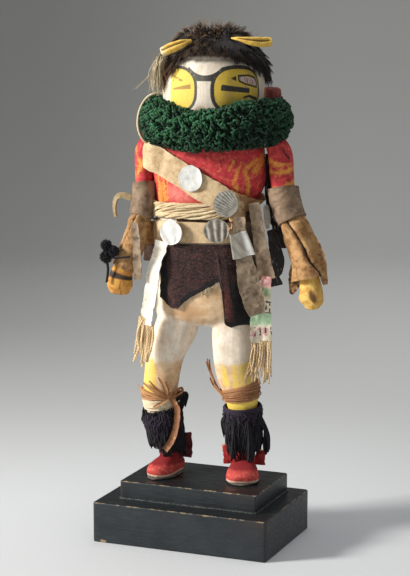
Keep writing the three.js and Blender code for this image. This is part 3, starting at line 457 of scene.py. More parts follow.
def make_hide():
    """Suede and leather: cloudy colour, darker creases, a rubbed nap and a pebbly height."""
    tree, g, entry, leave = effect(
        "hide",
        {"Light": "c", "Dark": "c", "Crease": "c", "Dirt": "f"},
        {"Color": "c", "Height": "f", "Roughness": "f"},
    )
    place = g.where()
    cloud = g.noise(place, 9, detail=6, rough=0.65)
    nap = g.noise(place, 0.55, detail=4, rough=0.6)
    pebble = g.cells(place, 0.9, feature="SMOOTH_F1")
    stir = g.node("ShaderNodeTexNoise", {"Vector": place, "Scale": 0.4}).outputs["Color"]
    stirred = g.node("ShaderNodeMix", {0: 0.12, 4: place, 5: stir}, data_type="VECTOR").outputs[1]
    crack = g.cells(stirred, 5, feature="DISTANCE_TO_EDGE")
    line = g.times(g.span(crack, 0.0, 0.06, 1.0, 0.0), g.span(cloud, 0.45, 0.62))
    color = g.blend(g.span(cloud, 0.34, 0.68), entry["Light"], entry["Dark"])
    color = g.coat(color, g.span(nap, 0.4, 0.7), 0.35, entry["Dark"])
    color = g.coat(color, line, 0.5, entry["Crease"])
    stain = g.times(g.span(g.noise(place, 5, detail=4), 0.52, 0.7), entry["Dirt"])
    color = g.blend(stain, color, entry["Crease"])
    height = g.plus(g.times(nap, 0.6), g.times(pebble, 0.4))
    height = g.minus(height, g.times(line, 0.6))
    close_effect(g, leave, Color=color, Height=height, Roughness=g.span(cloud, 0.3, 0.7, 0.72, 0.92))
    return tree


def make_yarn():
    """Twisted wool along a strand: slanting plies, fuzz, and a tone of its own for each strand."""
    tree, g, entry, leave = effect(
        "yarn",
        {"Light": "c", "Dark": "c", "Ply mm": "f"},
        {"Color": "c", "Height": "f"},
    )
    run = g.node("ShaderNodeSeparateXYZ", {0: g.uv()}).outputs
    slant = g.plus(g.math("DIVIDE", run["Y"], entry["Ply mm"]), run["X"])
    ply = g.math("ABSOLUTE", g.math("SINE", g.times(slant, math.pi)))
    fuzz = g.noise(g.where(), 0.45, detail=3)
    tone = g.plus(g.times(g.value("strand"), 0.65), g.times(fuzz, 0.5))
    tone = g.minus(tone, g.times(g.minus(1.0, ply), 0.35))
    color = g.blend(g.span(tone, 0.05, 0.95), entry["Dark"], entry["Light"])
    close_effect(g, leave, Color=color, Height=g.plus(ply, g.times(fuzz, 0.5)))
    return tree


def make_grain():
    """Wood grain along Z: long fibres and a few dark pores, as a mask and a height."""
    tree, g, entry, leave = effect("grain", {"Length": "f"}, {"Mask": "f", "Height": "f"})
    place = g.where((1, 1, 0.08))
    fibre = g.noise(place, 0.6, detail=5, rough=0.6)
    broad = g.noise(place, 3.5, detail=3)
    close_effect(g, leave, Mask=g.times(g.span(g.plus(fibre, broad), 0.85, 1.2), entry["Length"]),
                 Height=g.plus(g.times(fibre, 0.7), g.times(broad, 0.3)))
    return tree


HIDE, YARN, GRAIN = make_hide(), make_yarn(), make_grain()


# ------------------------------------------------------------------------- the carved figure's form

# Height, middle x, half width and half depth of the trunk.
TRUNK = np.array([
    [127, -2, 33, 14], [133, -2, 38.5, 20], [146, -1.5, 40, 23.5], [175, -3, 38.5, 23],
    [200, -5, 36.5, 21], [222, -4.5, 37, 21], [229, -1, 41, 22.5], [237, 1.5, 43.5, 24],
    [262, 1, 45.5, 25], [276, 1, 43, 23], [284, 2, 34, 20], [292, 3.5, 24, 20],
])
TRUNK_SQUARENESS = 2.5

HEAD = {"x": 5.5, "y": -1, "low": 286, "top": 349, "half_width": 40.5, "half_depth": 39}
HEAD_ROUND = 40  # radius in mm at which ways round the head are measured
# Share of the mask's height, and its outline's share of the full width and depth there.
HEAD_OUTLINE = np.array([
    [0, 0.7], [0.16, 0.9], [0.34, 0.99], [0.6, 1], [0.76, 0.95], [0.89, 0.82], [0.97, 0.58], [1, 0.2],
])

# Middle x, y, z, half width and half depth from the hip, or the shoulder, down.
RIGHT_LEG = np.array([
    [-20, 0, 144, 14, 17], [-25.5, 0, 124, 17, 18.5], [-34, -1, 103, 15.5, 17],
    [-37.5, -1, 86, 14.5, 15], [-39.5, -1, 66, 13.5, 14], [-37, 0, 46, 10.5, 11.5],
    [-33, 2, 24, 8.5, 9.5], [-31, 3, 7, 8.5, 9.5],
])
LEFT_LEG = np.array([
    [19, 0, 144, 15, 17], [22, 0, 124, 17.5, 18.5], [22.5, -1, 105, 17, 17],
    [24.5, -1, 88, 16.5, 15], [29, -1, 68, 13.5, 14], [30, 0, 50, 10.5, 11.5],
    [30.5, 2, 24, 8.5, 9.5], [30.5, 3, 7, 8.5, 9.5],
])
RIGHT_ARM = np.array([
    [-46, 0, 279, 7, 9], [-51, -1, 266, 8, 10.5], [-51, -3, 246, 7.5, 10], [-50.5, -8, 226, 7, 9],
    [-55, -13, 203, 6.5, 8], [-62, -17, 181, 6, 7], [-67, -18, 169, 9, 8],
    [-68.5, -18, 160, 10.4, 8.5], [-69, -18, 154, 8.0, 6.4],
])
LEFT_ARM = np.array([
    [52, 0, 280, 7, 9], [59.5, -1, 267, 9.5, 10.5], [61.5, -3, 248, 9.5, 10],
    [65.5, -7, 228, 8.5, 9], [76, -12, 205, 7.5, 8], [83.5, -16, 181, 7, 7.5],
    [87.5, -18, 165, 8.5, 8.5], [89, -18, 153, 9, 8], [89, -18, 147.5, 5.5, 5],
])
SOLE = 2.0
# Heel, the toe's angle outward in degrees, length and half width.
RIGHT_FOOT = {"heel": (-25, 10), "toe_out": -24, "length": 38, "half_width": 10.5}
LEFT_FOOT = {"heel": (29, 12), "toe_out": 8, "length": 42, "half_width": 13.5}
# Share of the foot's length, share of its half width, and half height.
FOOT_PROFILE = np.array([
    [0, 0.4, 5], [0.1, 0.62, 9], [0.35, 0.75, 12], [0.6, 0.96, 10.5], [0.8, 1, 8],
    [0.94, 0.75, 6.5], [1, 0.42, 4],
])
AHEAD = np.array([0.0, -1.0, 0.0])


def on_trunk(angle, z, reach=0.0):
    """A rounded-square ring at height z, `reach` clear of the trunk. Angle runs from +x."""
    x, half_width, half_depth = np.moveaxis(smooth_at(TRUNK[:, 0], TRUNK[:, 1:], z), -1, 0)
    dx, dy = oval(angle, half_width + reach, half_depth + reach, TRUNK_SQUARENESS)
    return xyz(x + dx, dy, z)


def on_head(angle, rise):
    """A ring of the mask at a share of its height: an ellipse times the outline's share."""
    share = smooth_at(HEAD_OUTLINE[:, 0], HEAD_OUTLINE[:, 1], rise)
    dx, dy = oval(angle, HEAD["half_width"] * share, HEAD["half_depth"] * share)
    return xyz(HEAD["x"] + dx, HEAD["y"] + dy, HEAD["low"] + rise * (HEAD["top"] - HEAD["low"]))


def on_limb(stations, t, angle, grow=0.0, squareness=2.0, facing=AHEAD):
    """Rings round a smooth line: middle + side x half width + front x half depth at an angle.

    t and the angle are numbers or arrays that spread to one shape. Angle 0 is the limb's side toward
    the body's left, and 90 degrees its front."""
    now = along(stations, t)
    ahead = along(stations, np.clip(t + 1e-3, 0, 1)) - along(stations, np.clip(t - 1e-3, 0, 1))
    tangent = unit(ahead[..., :3])
    side = unit(np.cross(tangent, np.broadcast_to(facing, tangent.shape)))
    front = unit(np.cross(side, tangent))
    across, out = oval(angle, now[..., 3] + grow, now[..., 4] + grow, squareness)
    return now[..., :3] - side * across[..., None] + front * out[..., None]


def on_leg(leg, line):
    """Points of a line on a leg, given as rows of a share, degrees round the leg and a reach."""
    share, degrees, reach = np.moveaxis(line, -1, 0)
    return on_limb(leg, share, np.radians(degrees), reach)


def turns(count):
    return np.arange(count) / count * 2 * np.pi


def ball(rows, cols, pole):
    """Rings of a ball of radius 1 whose latitudes stop at `pole` radians either way."""
    lat, lon = np.linspace(-pole, pole, rows)[:, None], turns(cols)[None, :]
    return xyz(np.cos(lat) * np.cos(lon), np.cos(lat) * np.sin(lon), np.sin(lat))


def foot_stations(foot):
    out = math.radians(foot["toe_out"])
    share, broad, height = smooth_at(np.linspace(0, 1, len(FOOT_PROFILE)), FOOT_PROFILE,
                                     shares(24)).T
    x = foot["heel"][0] + math.sin(out) * share * foot["length"]
    y = foot["heel"][1] - math.cos(out) * share * foot["length"]
    return np.stack([x, y, SOLE + height * 0.35, foot["half_width"] * broad, height], -1)


def one_skin(shape, name, cell, rounds):
    """The shells melted into one closed skin of even cells, then smoothed. Works in millimetres."""
    rough = shape.build(name, in_metres=True)
    melt = rough.modifiers.new("melt", "REMESH")
    melt.mode, melt.voxel_size, melt.use_smooth_shade = "VOXEL", cell, True
    soften = rough.modifiers.new("soften", "SMOOTH")
    soften.factor, soften.iterations = 0.5, rounds
    done = bpy.data.meshes.new_from_object(
        rough.evaluated_get(bpy.context.evaluated_depsgraph_get()))
    points = np.empty(len(done.vertices) * 3)
    done.vertices.foreach_get("co", points)
    corners = np.empty(len(done.loops), np.int32)
    done.loops.foreach_get("vertex_index", corners)
    bpy.data.objects.remove(rough)
    bpy.data.meshes.remove(done)
    return points.reshape(-1, 3), corners.reshape(-1, 4)


def carve_lower_figure():
    """Trunk, legs and feet melted into one, with knife facets and a flat sole."""
    shape = Shape()
    heights = np.concatenate([np.linspace(127, 133, 5), np.linspace(135, 291.5, 60)])[:, None]
    shape.tube(on_trunk(turns(64), heights))
    t = shares(50)[:, None]
    for leg in (RIGHT_LEG, LEFT_LEG):
        shape.tube(on_limb(leg, t, turns(36), squareness=2.5))
    for foot in (RIGHT_FOOT, LEFT_FOOT):
        shape.tube(on_limb(foot_stations(foot), shares(30)[:, None], turns(32),
                           squareness=2.4, facing=np.array([0.0, 0.0, 1.0])))
    points, quads = one_skin(shape, "rough_figure", cell=1.4, rounds=5)
    points[:, 2] = np.maximum(points[:, 2], SOLE)
    # shallow knife cuts, longer than they are wide, that fade out toward the sole
    cut = noise(points * (1, 1, 0.45), 6.5, 3) * 0.28 + noise(points, 2.2, 5) * 0.08
    outward = unit(points * (0.8, 0.8, 0))
    points[:, :2] += outward[:, :2] * (cut * step(SOLE + 1, SOLE + 6, points[:, 2]))[:, None]
    return points, quads


def carve_head():
    """The mask as a dense grid of rings, with the faint unevenness of a scraped surface."""
    rise = 1 - (1 - shares(108)) ** 1.15
    rings = on_head(turns(270), rise[:, None])
    cut = noise(rings * (1, 1, 0.6), 9, 11) * 0.25 + noise(rings, 2.5, 12) * 0.06
    rings[..., :2] += unit(rings[..., :2] - (HEAD["x"], HEAD["y"])) * cut[..., None]
    return rings


# ------------------------------------------------------------------------------ painted patterns


def stroke(x, z, path, half):
    """Distance in mm from a brush stroke through points (x, z); `half` is its half width, which
    may run from one value at the start to another at the end. Negative inside."""
    path = np.asarray(path, float)
    half = np.linspace(*half, len(path)) if np.ndim(half) else np.full(len(path), half)
    best = np.full(np.shape(x), 1e3)
    for (ax, az), (bx, bz), ha, hb in zip(path[:-1], path[1:], half[:-1], half[1:]):
        length = (bx - ax) ** 2 + (bz - az) ** 2
        f = np.clip(((x - ax) * (bx - ax) + (z - az) * (bz - az)) / length, 0, 1)
        gap = np.hypot(x - ax - f * (bx - ax), z - az - f * (bz - az))
        best = np.minimum(best, gap - (ha + (hb - ha) * f))
    return best


def strokes(x, z, rows):
    """Distance in mm from the nearest of several brush strokes, each a path and its half width."""
    return np.min([stroke(x, z, path, half) for path, half in rows], axis=0)


def blob(x, z, cx, cz, half_x, half_z, squareness=2.0):
    """Distance in mm from a rounded-square patch: its level over the slope of that level."""
    u, v = np.abs(x - cx) / half_x + 1e-6, np.abs(z - cz) / half_z + 1e-6
    n = squareness
    level = (u**n + v**n) ** (1 / n)
    slope = level ** (1 - n) * np.hypot(u ** (n - 1) / half_x, v ** (n - 1) / half_z)
    return (level - 1) / np.maximum(slope, 1e-6)


def slanted_box(x, z, left, right, half_left, half_right):
    """Distance in mm from a bar between two ends (x, z) whose half height changes along it."""
    (ax, az), (bx, bz) = left, right
    long = math.hypot(bx - ax, bz - az)
    ux, uz = (bx - ax) / long, (bz - az) / long
    run = (x - ax) * ux + (z - az) * uz
    half = half_left + (half_right - half_left) * np.clip(run / long, 0, 1)
    return np.maximum(np.abs(-(x - ax) * uz + (z - az) * ux) - half, np.abs(run - long / 2) - long / 2)


def paint_mask(s, z):
    """The mask's painting over s, the way round from the front in mm, and height z.

    Two round-cornered yellow eye panels with black outlines that join over the nose."""
    left = blob(s, z, 28.2, 319, 21.4, 17.8, 2.6)
    right = blob(s, z, -26.6, 319, 20.6, 17.3, 2.6)
    rim = -31.5
    line_left = np.abs(left) - (1.5 - 0.6 * step(34, 46, s))
    line_right = np.maximum(np.abs(right) - 1.15, rim + 1 - s)
    over = 330.6 + 0.031 * (s - 0.8) ** 2
    bridge = np.max([z - over, 326.2 - z, np.abs(s - 0.8) - 15, -left - 0.5, -right - 0.5], axis=0)
    bar = slanted_box(s, z, (13.6, 321.4), (38, 318.3), 2.35, 1.85)
    beak = np.max([np.abs(z - 328.2) - (s - 21.4) * 0.45, s - 26.3], axis=0)
    window = [(28.4, 330.2), (38, 330.2), (45.2, 328), (46.8, 324), (46.4, 320.6), (40, 322.2),
              (33.6, 323.8), (28.6, 326.2), (28.4, 330.2)]
    frame_line = stroke(s, z, window, 0.75)
    lower = stroke(s, z, [(32.5, 313.2), (37.5, 314.2), (45.8, 311.6)], (0.7, 1.3))
    black = np.min([line_left, line_right, bridge, bar, beak, frame_line, lower], axis=0)
    dashes = strokes(s, z, [
        ([(-29, 329.6), (-26.5, 328.8)], 0.7), ([(-25, 328), (-22.6, 328.3)], 0.6),
        ([(-21.6, 326.8), (-18.6, 326.4)], 0.9), ([(-29, 326.4), (-28, 325.4)], 0.5),
    ])
    faint = np.minimum(slanted_box(s, z, (-28.2, 319.3), (-10.4, 321.9), 0.6, 1.9), dashes)
    rosy = slanted_box(s, z, (29.4, 328.2), (45.6, 324.6), 1.7, 2.6)
    rosy = np.minimum(rosy, stroke(s, z, [(33.5, 321.6), (37.5, 320.4)], 0.5))
    yellow = np.minimum(left, np.maximum(right, rim - s))
    pale_rim = np.abs(s - (rim - 1.9)) - 1.7
    smudge = 1 - step(0, 3.5, blob(s, z, -2.2, 301.6, 4.6, 2.6))
    # ochre is 1 on the figure's left of the face, away from the key light: there the yellow and the black are
    # painted darker as shade
    return {"black": black, "yellow": yellow, "faint": faint, "rosy": rosy, "rim": pale_rim,
            "smudge": smudge, "ochre": step(-2, 8, s)}


# Strokes over the chest and the knees: points (x, z) and half width.
CHEST_STREAKS = [
    ([(49.5, 272), (46, 262), (42, 254)], (1.6, 2.4)),
    ([(43, 263), (37, 258), (34, 254), (36.5, 249), (37, 242), (35.5, 234)], (1.5, 1.2)),
    ([(31.5, 260), (28.5, 253), (26, 244), (29, 240)], (0.9, 1.6)),
    ([(26, 262), (23, 256)], 0.8),
    ([(-38, 256), (-36.5, 246), (-35, 238), (-35, 229)], (1.0, 1.9)),
    ([(-33, 253), (-31.5, 244), (-31, 229)], (0.8, 1.6)),
    ([(-28.6, 247), (-28.2, 238), (-28.6, 230)], (0.4, 0.9)),
]
KNEE_STROKES = [
    ([(-48.5, 96), (-48, 70)], (1.4, 2.6)), ([(-42.5, 97), (-42.2, 72)], (1.6, 2.6)),
    ([(16.6, 94), (19.4, 80)], (1.4, 2.0)), ([(25.6, 95), (27.6, 77)], (1.6, 2.2)),
    ([(31, 96), (32.4, 79)], (1.2, 1.8)), ([(35.6, 98), (36.6, 82)], (1.8, 1.4)),
]
FAR = 50.0  # a distance in mm at which nothing is painted
SHIRT_HEM, SHOE_TOP, CHIN_LEVEL = 227, 33, 296


def paint_body(points):
    """Every painted area of the carved figure as values at its points: distances in mm that are
    negative inside an area, and tones from 0 to 1."""
    x, y, z = points.T
    s = HEAD_ROUND * np.arctan2((x - HEAD["x"]) / HEAD["half_width"], -(y - HEAD["y"]) / HEAD["half_depth"])
    is_head = (z > CHIN_LEVEL) & (np.abs(s) < 75) & (np.hypot(x - HEAD["x"], y - HEAD["y"]) > 22)
    mask = paint_mask(s, z)
    for key in ("black", "yellow", "faint", "rosy", "rim"):
        mask[key] = np.where(is_head, mask[key], FAR)
    # the chest: red with streaks of yellow in front, pink where it is rubbed
    chest = np.maximum(SHIRT_HEM - z, z - 300)
    streak = strokes(x, z, CHEST_STREAKS) + np.where(y < 0, 0.0, FAR)
    pink = 1 - step(-5, 5, blob(x, z, -17, 236, 11, 7, 2.4))
    # feet: a red moccasin, paler at the toe, with pink patches there painted as highlights, and a pale edge
    # over the sole
    welt = np.maximum(z - (SOLE + 2.0), -1.0)
    coral = 1 - step(9, 13, z + 0.12 * (y + 18))
    # legs: yellow strokes on a tan knee, a yellow calf under the left band, and tan at the crotch
    knees = strokes(x, z, KNEE_STROKES) - 0.5 + 0.9 * noise(points * (1, 1, 0.5), 3.0, 14)
    calf = np.maximum(np.abs(z - 61.5) - 6.5, -x)
    knee_tan = step(-52, -12, -np.abs(z - 82) * 2.4 + 4)
    crotch = 1 - step(-4, 8, blob(x, z, -2, 146, 30, 15, 2.4))
    # painted shade under the front of the kilt's hem, between the thighs: more tan there, and darker
    shade = 1 - step(-3, 4, blob(x, z, -9, 139, 9, 3.6))
    tan = np.clip(np.max([0.95 * knee_tan, 0.8 * crotch, shade], axis=0), 0.3, 1)
    # painted shadow: a dark band across the front in the gap between the waist cord and the belt
    slot = np.max([np.abs(z - 214.3) - 1.9, -21 - x, x - 34, y], axis=0)
    return {
        **mask, "slot": slot, "yellow": np.minimum(mask["yellow"], calf), "knees": knees,
        "smudge": np.where(is_head, mask["smudge"], 0.0),
        # on the body, the figure's left gets a little of the darker yellow, as painted shade
        "ochre": np.where(z > 290, mask["ochre"], step(-10, 10, x) * 0.15),
        "red": np.minimum(chest, z - SHOE_TOP), "streak": streak, "pink": np.where(z > 100, pink, 0.0),
        "smoke": np.where(z < SHIRT_HEM - 1, shade, 0.0), "coral": np.where(z < 60, coral, 0.0),
        "welt": np.where(z < 30, welt, FAR), "tan": np.where(z < SHIRT_HEM - 1, tan, 0.0),
        "shoe": (z < 60) * 1.0,
    }


def set_values(thing, values):
    for key, value in values.items():
        thing.data.attributes.new(key, "FLOAT", "POINT").data.foreach_set(
            "value", np.asarray(value, np.float32))


def red_paint(g, place):
    """Crimson paint: cloudy tone, with darker pools."""
    cloud = g.noise(place, 6, detail=5, rough=0.6)
    deep = g.blend(g.span(cloud, 0.35, 0.65), rgb(206, 56, 62), rgb(168, 38, 46))
    rubbed = g.blend(g.span(g.noise(place, 3.4, detail=5, warp=0.4), 0.5, 0.66), deep, rgb(214, 92, 74))
    return g.coat(rubbed, g.span(g.noise(place, 1.2, detail=4), 0.55, 0.7), 0.6, rgb(150, 30, 38))


def area(g, value, ragged, amount, soft=0.22):
    """1 inside a painted area and 0 outside, its edge shaken by a noise of that many mm."""
    shaken = g.plus(value, g.times(g.minus(ragged, 0.5), amount))
    return g.span(shaken, -soft, soft, 1.0, 0.0)


def painted_wood():
    """Pale ground on wood, with red, yellow and black areas brushed over it and rubbed."""
    made, g, shader = new_material("painted_wood", roughness=0.8)
    place = g.where()
    grain = g.use(GRAIN, Length=1.0)
    fine = g.noise(place, 1.1, detail=4)
    brush = g.noise(g.where((1, 1, 0.22)), 0.8, detail=3)
    cloud = g.noise(place, 11, detail=5, rough=0.6)
    ground = g.blend(g.span(cloud, 0.35, 0.65), rgb(244, 235, 220), rgb(228, 214, 196))
    ground = g.coat(ground, g.span(brush, 0.52, 0.74), 0.3, rgb(206, 186, 162))
    ground = g.coat(ground, grain["Mask"], 0.26, rgb(176, 148, 118))
    ragged = g.plus(g.value("tan"), g.times(g.minus(g.noise(place, 5, detail=6, rough=0.62), 0.5), 0.9))
    tan_share = g.times(g.span(ragged, 0.18, 0.75), g.span(g.value("tan"), 0.0, 0.25))
    tan_color = g.blend(g.span(g.noise(place, 7, detail=5), 0.38, 0.64), rgb(222, 192, 156),
                        rgb(200, 162, 120))
    # painted shade under the kilt's hem darkens the tan
    tan_color = g.blend(g.value("smoke"), tan_color, rgb(190, 150, 110))
    color = g.blend(tan_share, ground, tan_color)
    blush = g.times(g.value("pink"), g.span(g.noise(place, 3, detail=5), 0.3, 0.6, 0.35, 1.0))
    red = g.blend(blush, red_paint(g, place), rgb(226, 130, 118))
    worn = g.plus(g.value("coral"), g.minus(g.noise(place, 4, detail=5), 0.5))
    shoe = g.blend(g.span(worn, 0.2, 0.9), rgb(140, 27, 32), rgb(190, 64, 58))
    # painted highlights: pink patches over the paler toe
    shoe = g.coat(shoe, g.span(g.noise(place, 2.4, detail=5), 0.5, 0.7), g.value("coral"),
                  rgb(212, 116, 102))
    red = g.blend(g.value("shoe"), red, shoe)
    streak_color = g.blend(g.span(fine, 0.4, 0.62), rgb(222, 160, 62), rgb(214, 108, 52))
    streak = area(g, g.value("streak"), g.noise(place, 2.4, detail=4), 5.5, 1.3)
    red = g.blend(streak, red, streak_color)
    color = g.blend(area(g, g.value("red"), brush, 1.2), color, red)
    welt = area(g, g.value("welt"), fine, 1.4)
    color = g.blend(welt, color, rgb(226, 196, 172))
    # painted shade: lemon is the yellow on the lit side, and ochre the same yellow painted darker on the
    # figure's left
    lemon = g.blend(g.span(fine, 0.42, 0.66), rgb(240, 208, 82), rgb(226, 190, 104))
    ochre = g.blend(g.span(cloud, 0.4, 0.6), rgb(214, 182, 62), rgb(196, 164, 76))
    yellow = g.blend(g.value("ochre"), lemon, ochre)
    yellow = g.coat(yellow, g.span(g.noise(place, 2.8, detail=5), 0.56, 0.7), 0.5, rgb(222, 190, 128))
    color = g.blend(area(g, g.value("yellow"), brush, 0.9), color, yellow)
    dabs = g.noise(g.where((1, 1, 0.35)), 1.6, detail=5, rough=0.7)
    color = g.coat(color, area(g, g.value("knees"), dabs, 5.0, 1.6), 0.88, yellow)
    color = g.blend(area(g, g.value("rim"), fine, 0.8), color, rgb(226, 214, 186))
    rosy = g.blend(g.span(fine, 0.45, 0.6), rgb(214, 188, 180), rgb(120, 92, 104))
    color = g.blend(area(g, g.value("rosy"), fine, 0.8), color, rosy)
    faint = g.times(area(g, g.value("faint"), fine, 1.2), 0.75)
    color = g.blend(faint, color, rgb(136, 98, 60))
    black = area(g, g.value("black"), fine, 0.7)
    thin = g.span(g.noise(place, 1.9, detail=4), 0.58, 0.72, 1.0, 0.72)
    # painted shade: the black is darker on the figure's left
    ink = g.blend(g.value("ochre"), rgb(88, 86, 78), rgb(50, 47, 44))
    color = g.coat(color, black, thin, ink)
    # painted shadow in the gap between the waist cord and the belt
    color = g.blend(area(g, g.value("slot"), fine, 1.0), color, rgb(58, 36, 24))
    smudge = g.times(g.value("smudge"), g.span(fine, 0.35, 0.6, 0.4, 0.95))
    color = g.blend(smudge, color, rgb(140, 100, 66))
    chip = g.span(g.noise(place, 3.2, detail=6, rough=0.7), 0.69, 0.715)
    color = g.coat(color, chip, 0.8, rgb(196, 160, 118))
    height = g.plus(g.times(grain["Height"], 0.6), g.times(fine, 0.5))
    height = g.minus(height, g.times(chip, 0.5))
    height = g.plus(height, g.times(brush, 0.35))
    join_up(g, shader, color, g.span(fine, 0.3, 0.7, 0.66, 0.9), g.bump(height, 0.35, 0.5))
    return made


def make_body():
    shape = Shape()
    rings = carve_head()
    shape.tube(rings)
    points, quads = carve_lower_figure()
    shape.add(points, quads, np.zeros((len(quads), 4, 2)))
    every = np.concatenate(shape.points)
    body = shape.build("body_carving")
    set_values(body, paint_body(every))
    return finish_piece(body, painted_wood(), "painted_wood", "body")


# ------------------------------------------------------------------------------------------ the arms


def arm_paint():
    """Upper arm red with yellow streaks, hand yellow ochre with brown rubbing."""
    made, g, shader = new_material("arm_paint", roughness=0.78)
    place = g.where()
    fine = g.noise(place, 1.1, detail=4)
    cloud = g.noise(place, 5, detail=5, rough=0.65)
    streaks = g.noise(g.where((1.2, 1, 1), (0.3, 0.5, 0.2)), 6.5, detail=5, warp=0.5)
    amber = g.blend(g.span(fine, 0.4, 0.62), rgb(230, 172, 66), rgb(222, 122, 62))
    red = g.blend(area(g, g.value("band_yellow"), streaks, 9.0, 1.5), red_paint(g, place), amber)
    red = g.blend(area(g, g.value("band_dark"), streaks, 3.0, 0.5), red, rgb(62, 22, 26))
    hand = g.blend(g.span(cloud, 0.36, 0.62), rgb(206, 152, 66), rgb(176, 116, 50))
    hand = g.blend(g.value("lemon"), hand, g.blend(g.span(cloud, 0.4, 0.6), rgb(230, 192, 104),
                                                  rgb(206, 152, 70)))
    smudge = g.plus(g.value("smudge"), g.minus(g.noise(place, 3, detail=5), 0.5))
    hand = g.blend(g.span(smudge, 0.3, 1.1), hand, rgb(104, 66, 32))
    hand = g.blend(g.value("band"), hand, rgb(58, 42, 30))
    color = g.blend(g.value("hand"), red, hand)
    chip = g.span(g.noise(place, 4.2, detail=6, rough=0.7), 0.7, 0.72)
    color = g.coat(color, chip, 0.7, rgb(206, 172, 132))
    height = g.minus(g.plus(fine, g.use(GRAIN, Length=1.0)["Height"]), chip)
    join_up(g, shader, color, g.span(fine, 0.3, 0.7, 0.62, 0.86), g.bump(height, 0.35, 0.5))
    return made


# Yellow streaks on the upper arms, and the dark lines on the left shoulder and the right hand.
ARM_STREAKS = {
    "right": [([(-54.5, 262), (-52, 256), (-55, 249)], (1.4, 2.2)), ([(-57, 270), (-55.5, 264)], 0.9)],
    "left": [([(51, 262.5), (58, 260), (68, 260)], (2.0, 1.1)),
             ([(52, 254), (59, 252.5), (69, 255.5)], (1.0, 1.8)), ([(54, 238.5), (62, 241), (72, 245)], 1.6)],
}
SHOULDER_LINE = [(62.5, 273), (65, 268), (68, 264)]
HAND_LINE = [(-67, 170), (-66, 150)]


def make_arms():
    """An arm is a limb with knife cuts, grooves between the fingers, a thumb and a round end."""
    paint = arm_paint()
    t, angle = shares(150)[:, None], turns(40)
    for side, stations in (("right", RIGHT_ARM), ("left", LEFT_ARM)):
        rings = on_limb(stations, t, angle, squareness=2.3)
        middle = along(stations, t)[..., :3]
        cut = noise(rings, 5, 21) * 0.3
        groove = step(0.86, 0.93, t) * np.cos(angle * 4 + 0.8) * 0.45 * (side == "left")
        thumb = np.exp(-(((t - 0.84) / 0.035) ** 2)) * np.exp(-((np.cos(angle) + 1) / 0.3) ** 2)
        rings = rings + unit(rings - middle) * (cut + groove + 1.2 * thumb)[..., None]
        bend = np.linspace(0.3, 1.5, 6)[:, None, None]
        last = rings[-1].mean(0)
        cap = last + (rings[-1] - last) * np.cos(bend) + (0, 0, -1) * np.sin(bend) * 2.4
        rings = np.concatenate([rings, cap])
        share = np.append(t, np.ones(6))[:, None]
        hand = step(0.66, 0.7, share)
        band = step(0.735, 0.75, share) * (1 - step(0.785, 0.8, share)) * (side == "right")
        x, _, z = np.moveaxis(rings, -1, 0)
        yellow, dark = strokes(x, z, ARM_STREAKS[side]), np.full(x.shape, FAR)
        if side == "right":
            smudge = 0.9 * np.exp(-((np.maximum(stroke(x, z, HAND_LINE, 0.2), 0) / 0.6) ** 2))
        else:
            dark = stroke(x, z, SHOULDER_LINE, (0.5, 0.9))
            smudge = 1.4 * np.exp(-(((x - 90.5 + 0.3 * (z - 157)) / 3.2) ** 2) - ((z - 157) / 6.5) ** 2)
        shape = Shape().tube(rings, hand=hand, band=band, band_yellow=yellow, band_dark=dark,
                             smudge=smudge, lemon=1.0 * (side == "left"))
        finish_piece(shape.build(f"arm_{side}_carving"), paint, "painted_wood_red", f"arm_{side}")


# ---------------------------------------------------------------------------------- dress of the head

RUFF = {"x": 7.4, "y": -2, "z": 293, "ring_width": 46.6, "ring_depth": 41, "thick": 14.5, "tall": 20}
RUFF_CORE = 0.74  # the dark core's share of the ruff's section
# Below the chin the ruff sags and is less tall.
CHIN = {"angle": math.radians(262), "spread": math.radians(32), "sag": 5.5, "thinner": 0.17}


def on_ruff(angle, turn, share=1.0, reach=0.0):
    """A fat ring: middle line an ellipse at `angle`, section an upright ellipse at `turn`."""
    cx, cy = oval(angle, RUFF["ring_width"], RUFF["ring_depth"])
    chin = np.exp(-(((angle % (2 * np.pi) - CHIN["angle"]) / CHIN["spread"]) ** 2))
    out = RUFF["thick"] * share + reach
    up = RUFF["tall"] * share * (1 - CHIN["thinner"] * chin) + reach
    z = RUFF["z"] - CHIN["sag"] * chin
    middle = xyz(RUFF["x"] + cx, RUFF["y"] + cy, z)
    across = xyz(np.cos(angle) * np.cos(turn) * out, np.sin(angle) * np.cos(turn) * out, np.sin(turn) * up)
    return middle + across


def ruff_wool():
    made, g, shader = new_material("green_wool", roughness=0.95)
    wool = g.use(YARN, Light=rgb(60, 122, 80), Dark=rgb(6, 22, 18), Ply_mm=1.3)
    grey = g.span(g.noise(g.where(), 7, detail=3), 0.56, 0.68, 0.0, 0.45)
    color = g.blend(grey, wool["Color"], rgb(50, 62, 48))
    join_up(g, shader, color, normal=g.bump(wool["Height"], 0.6, 0.35))
    return made


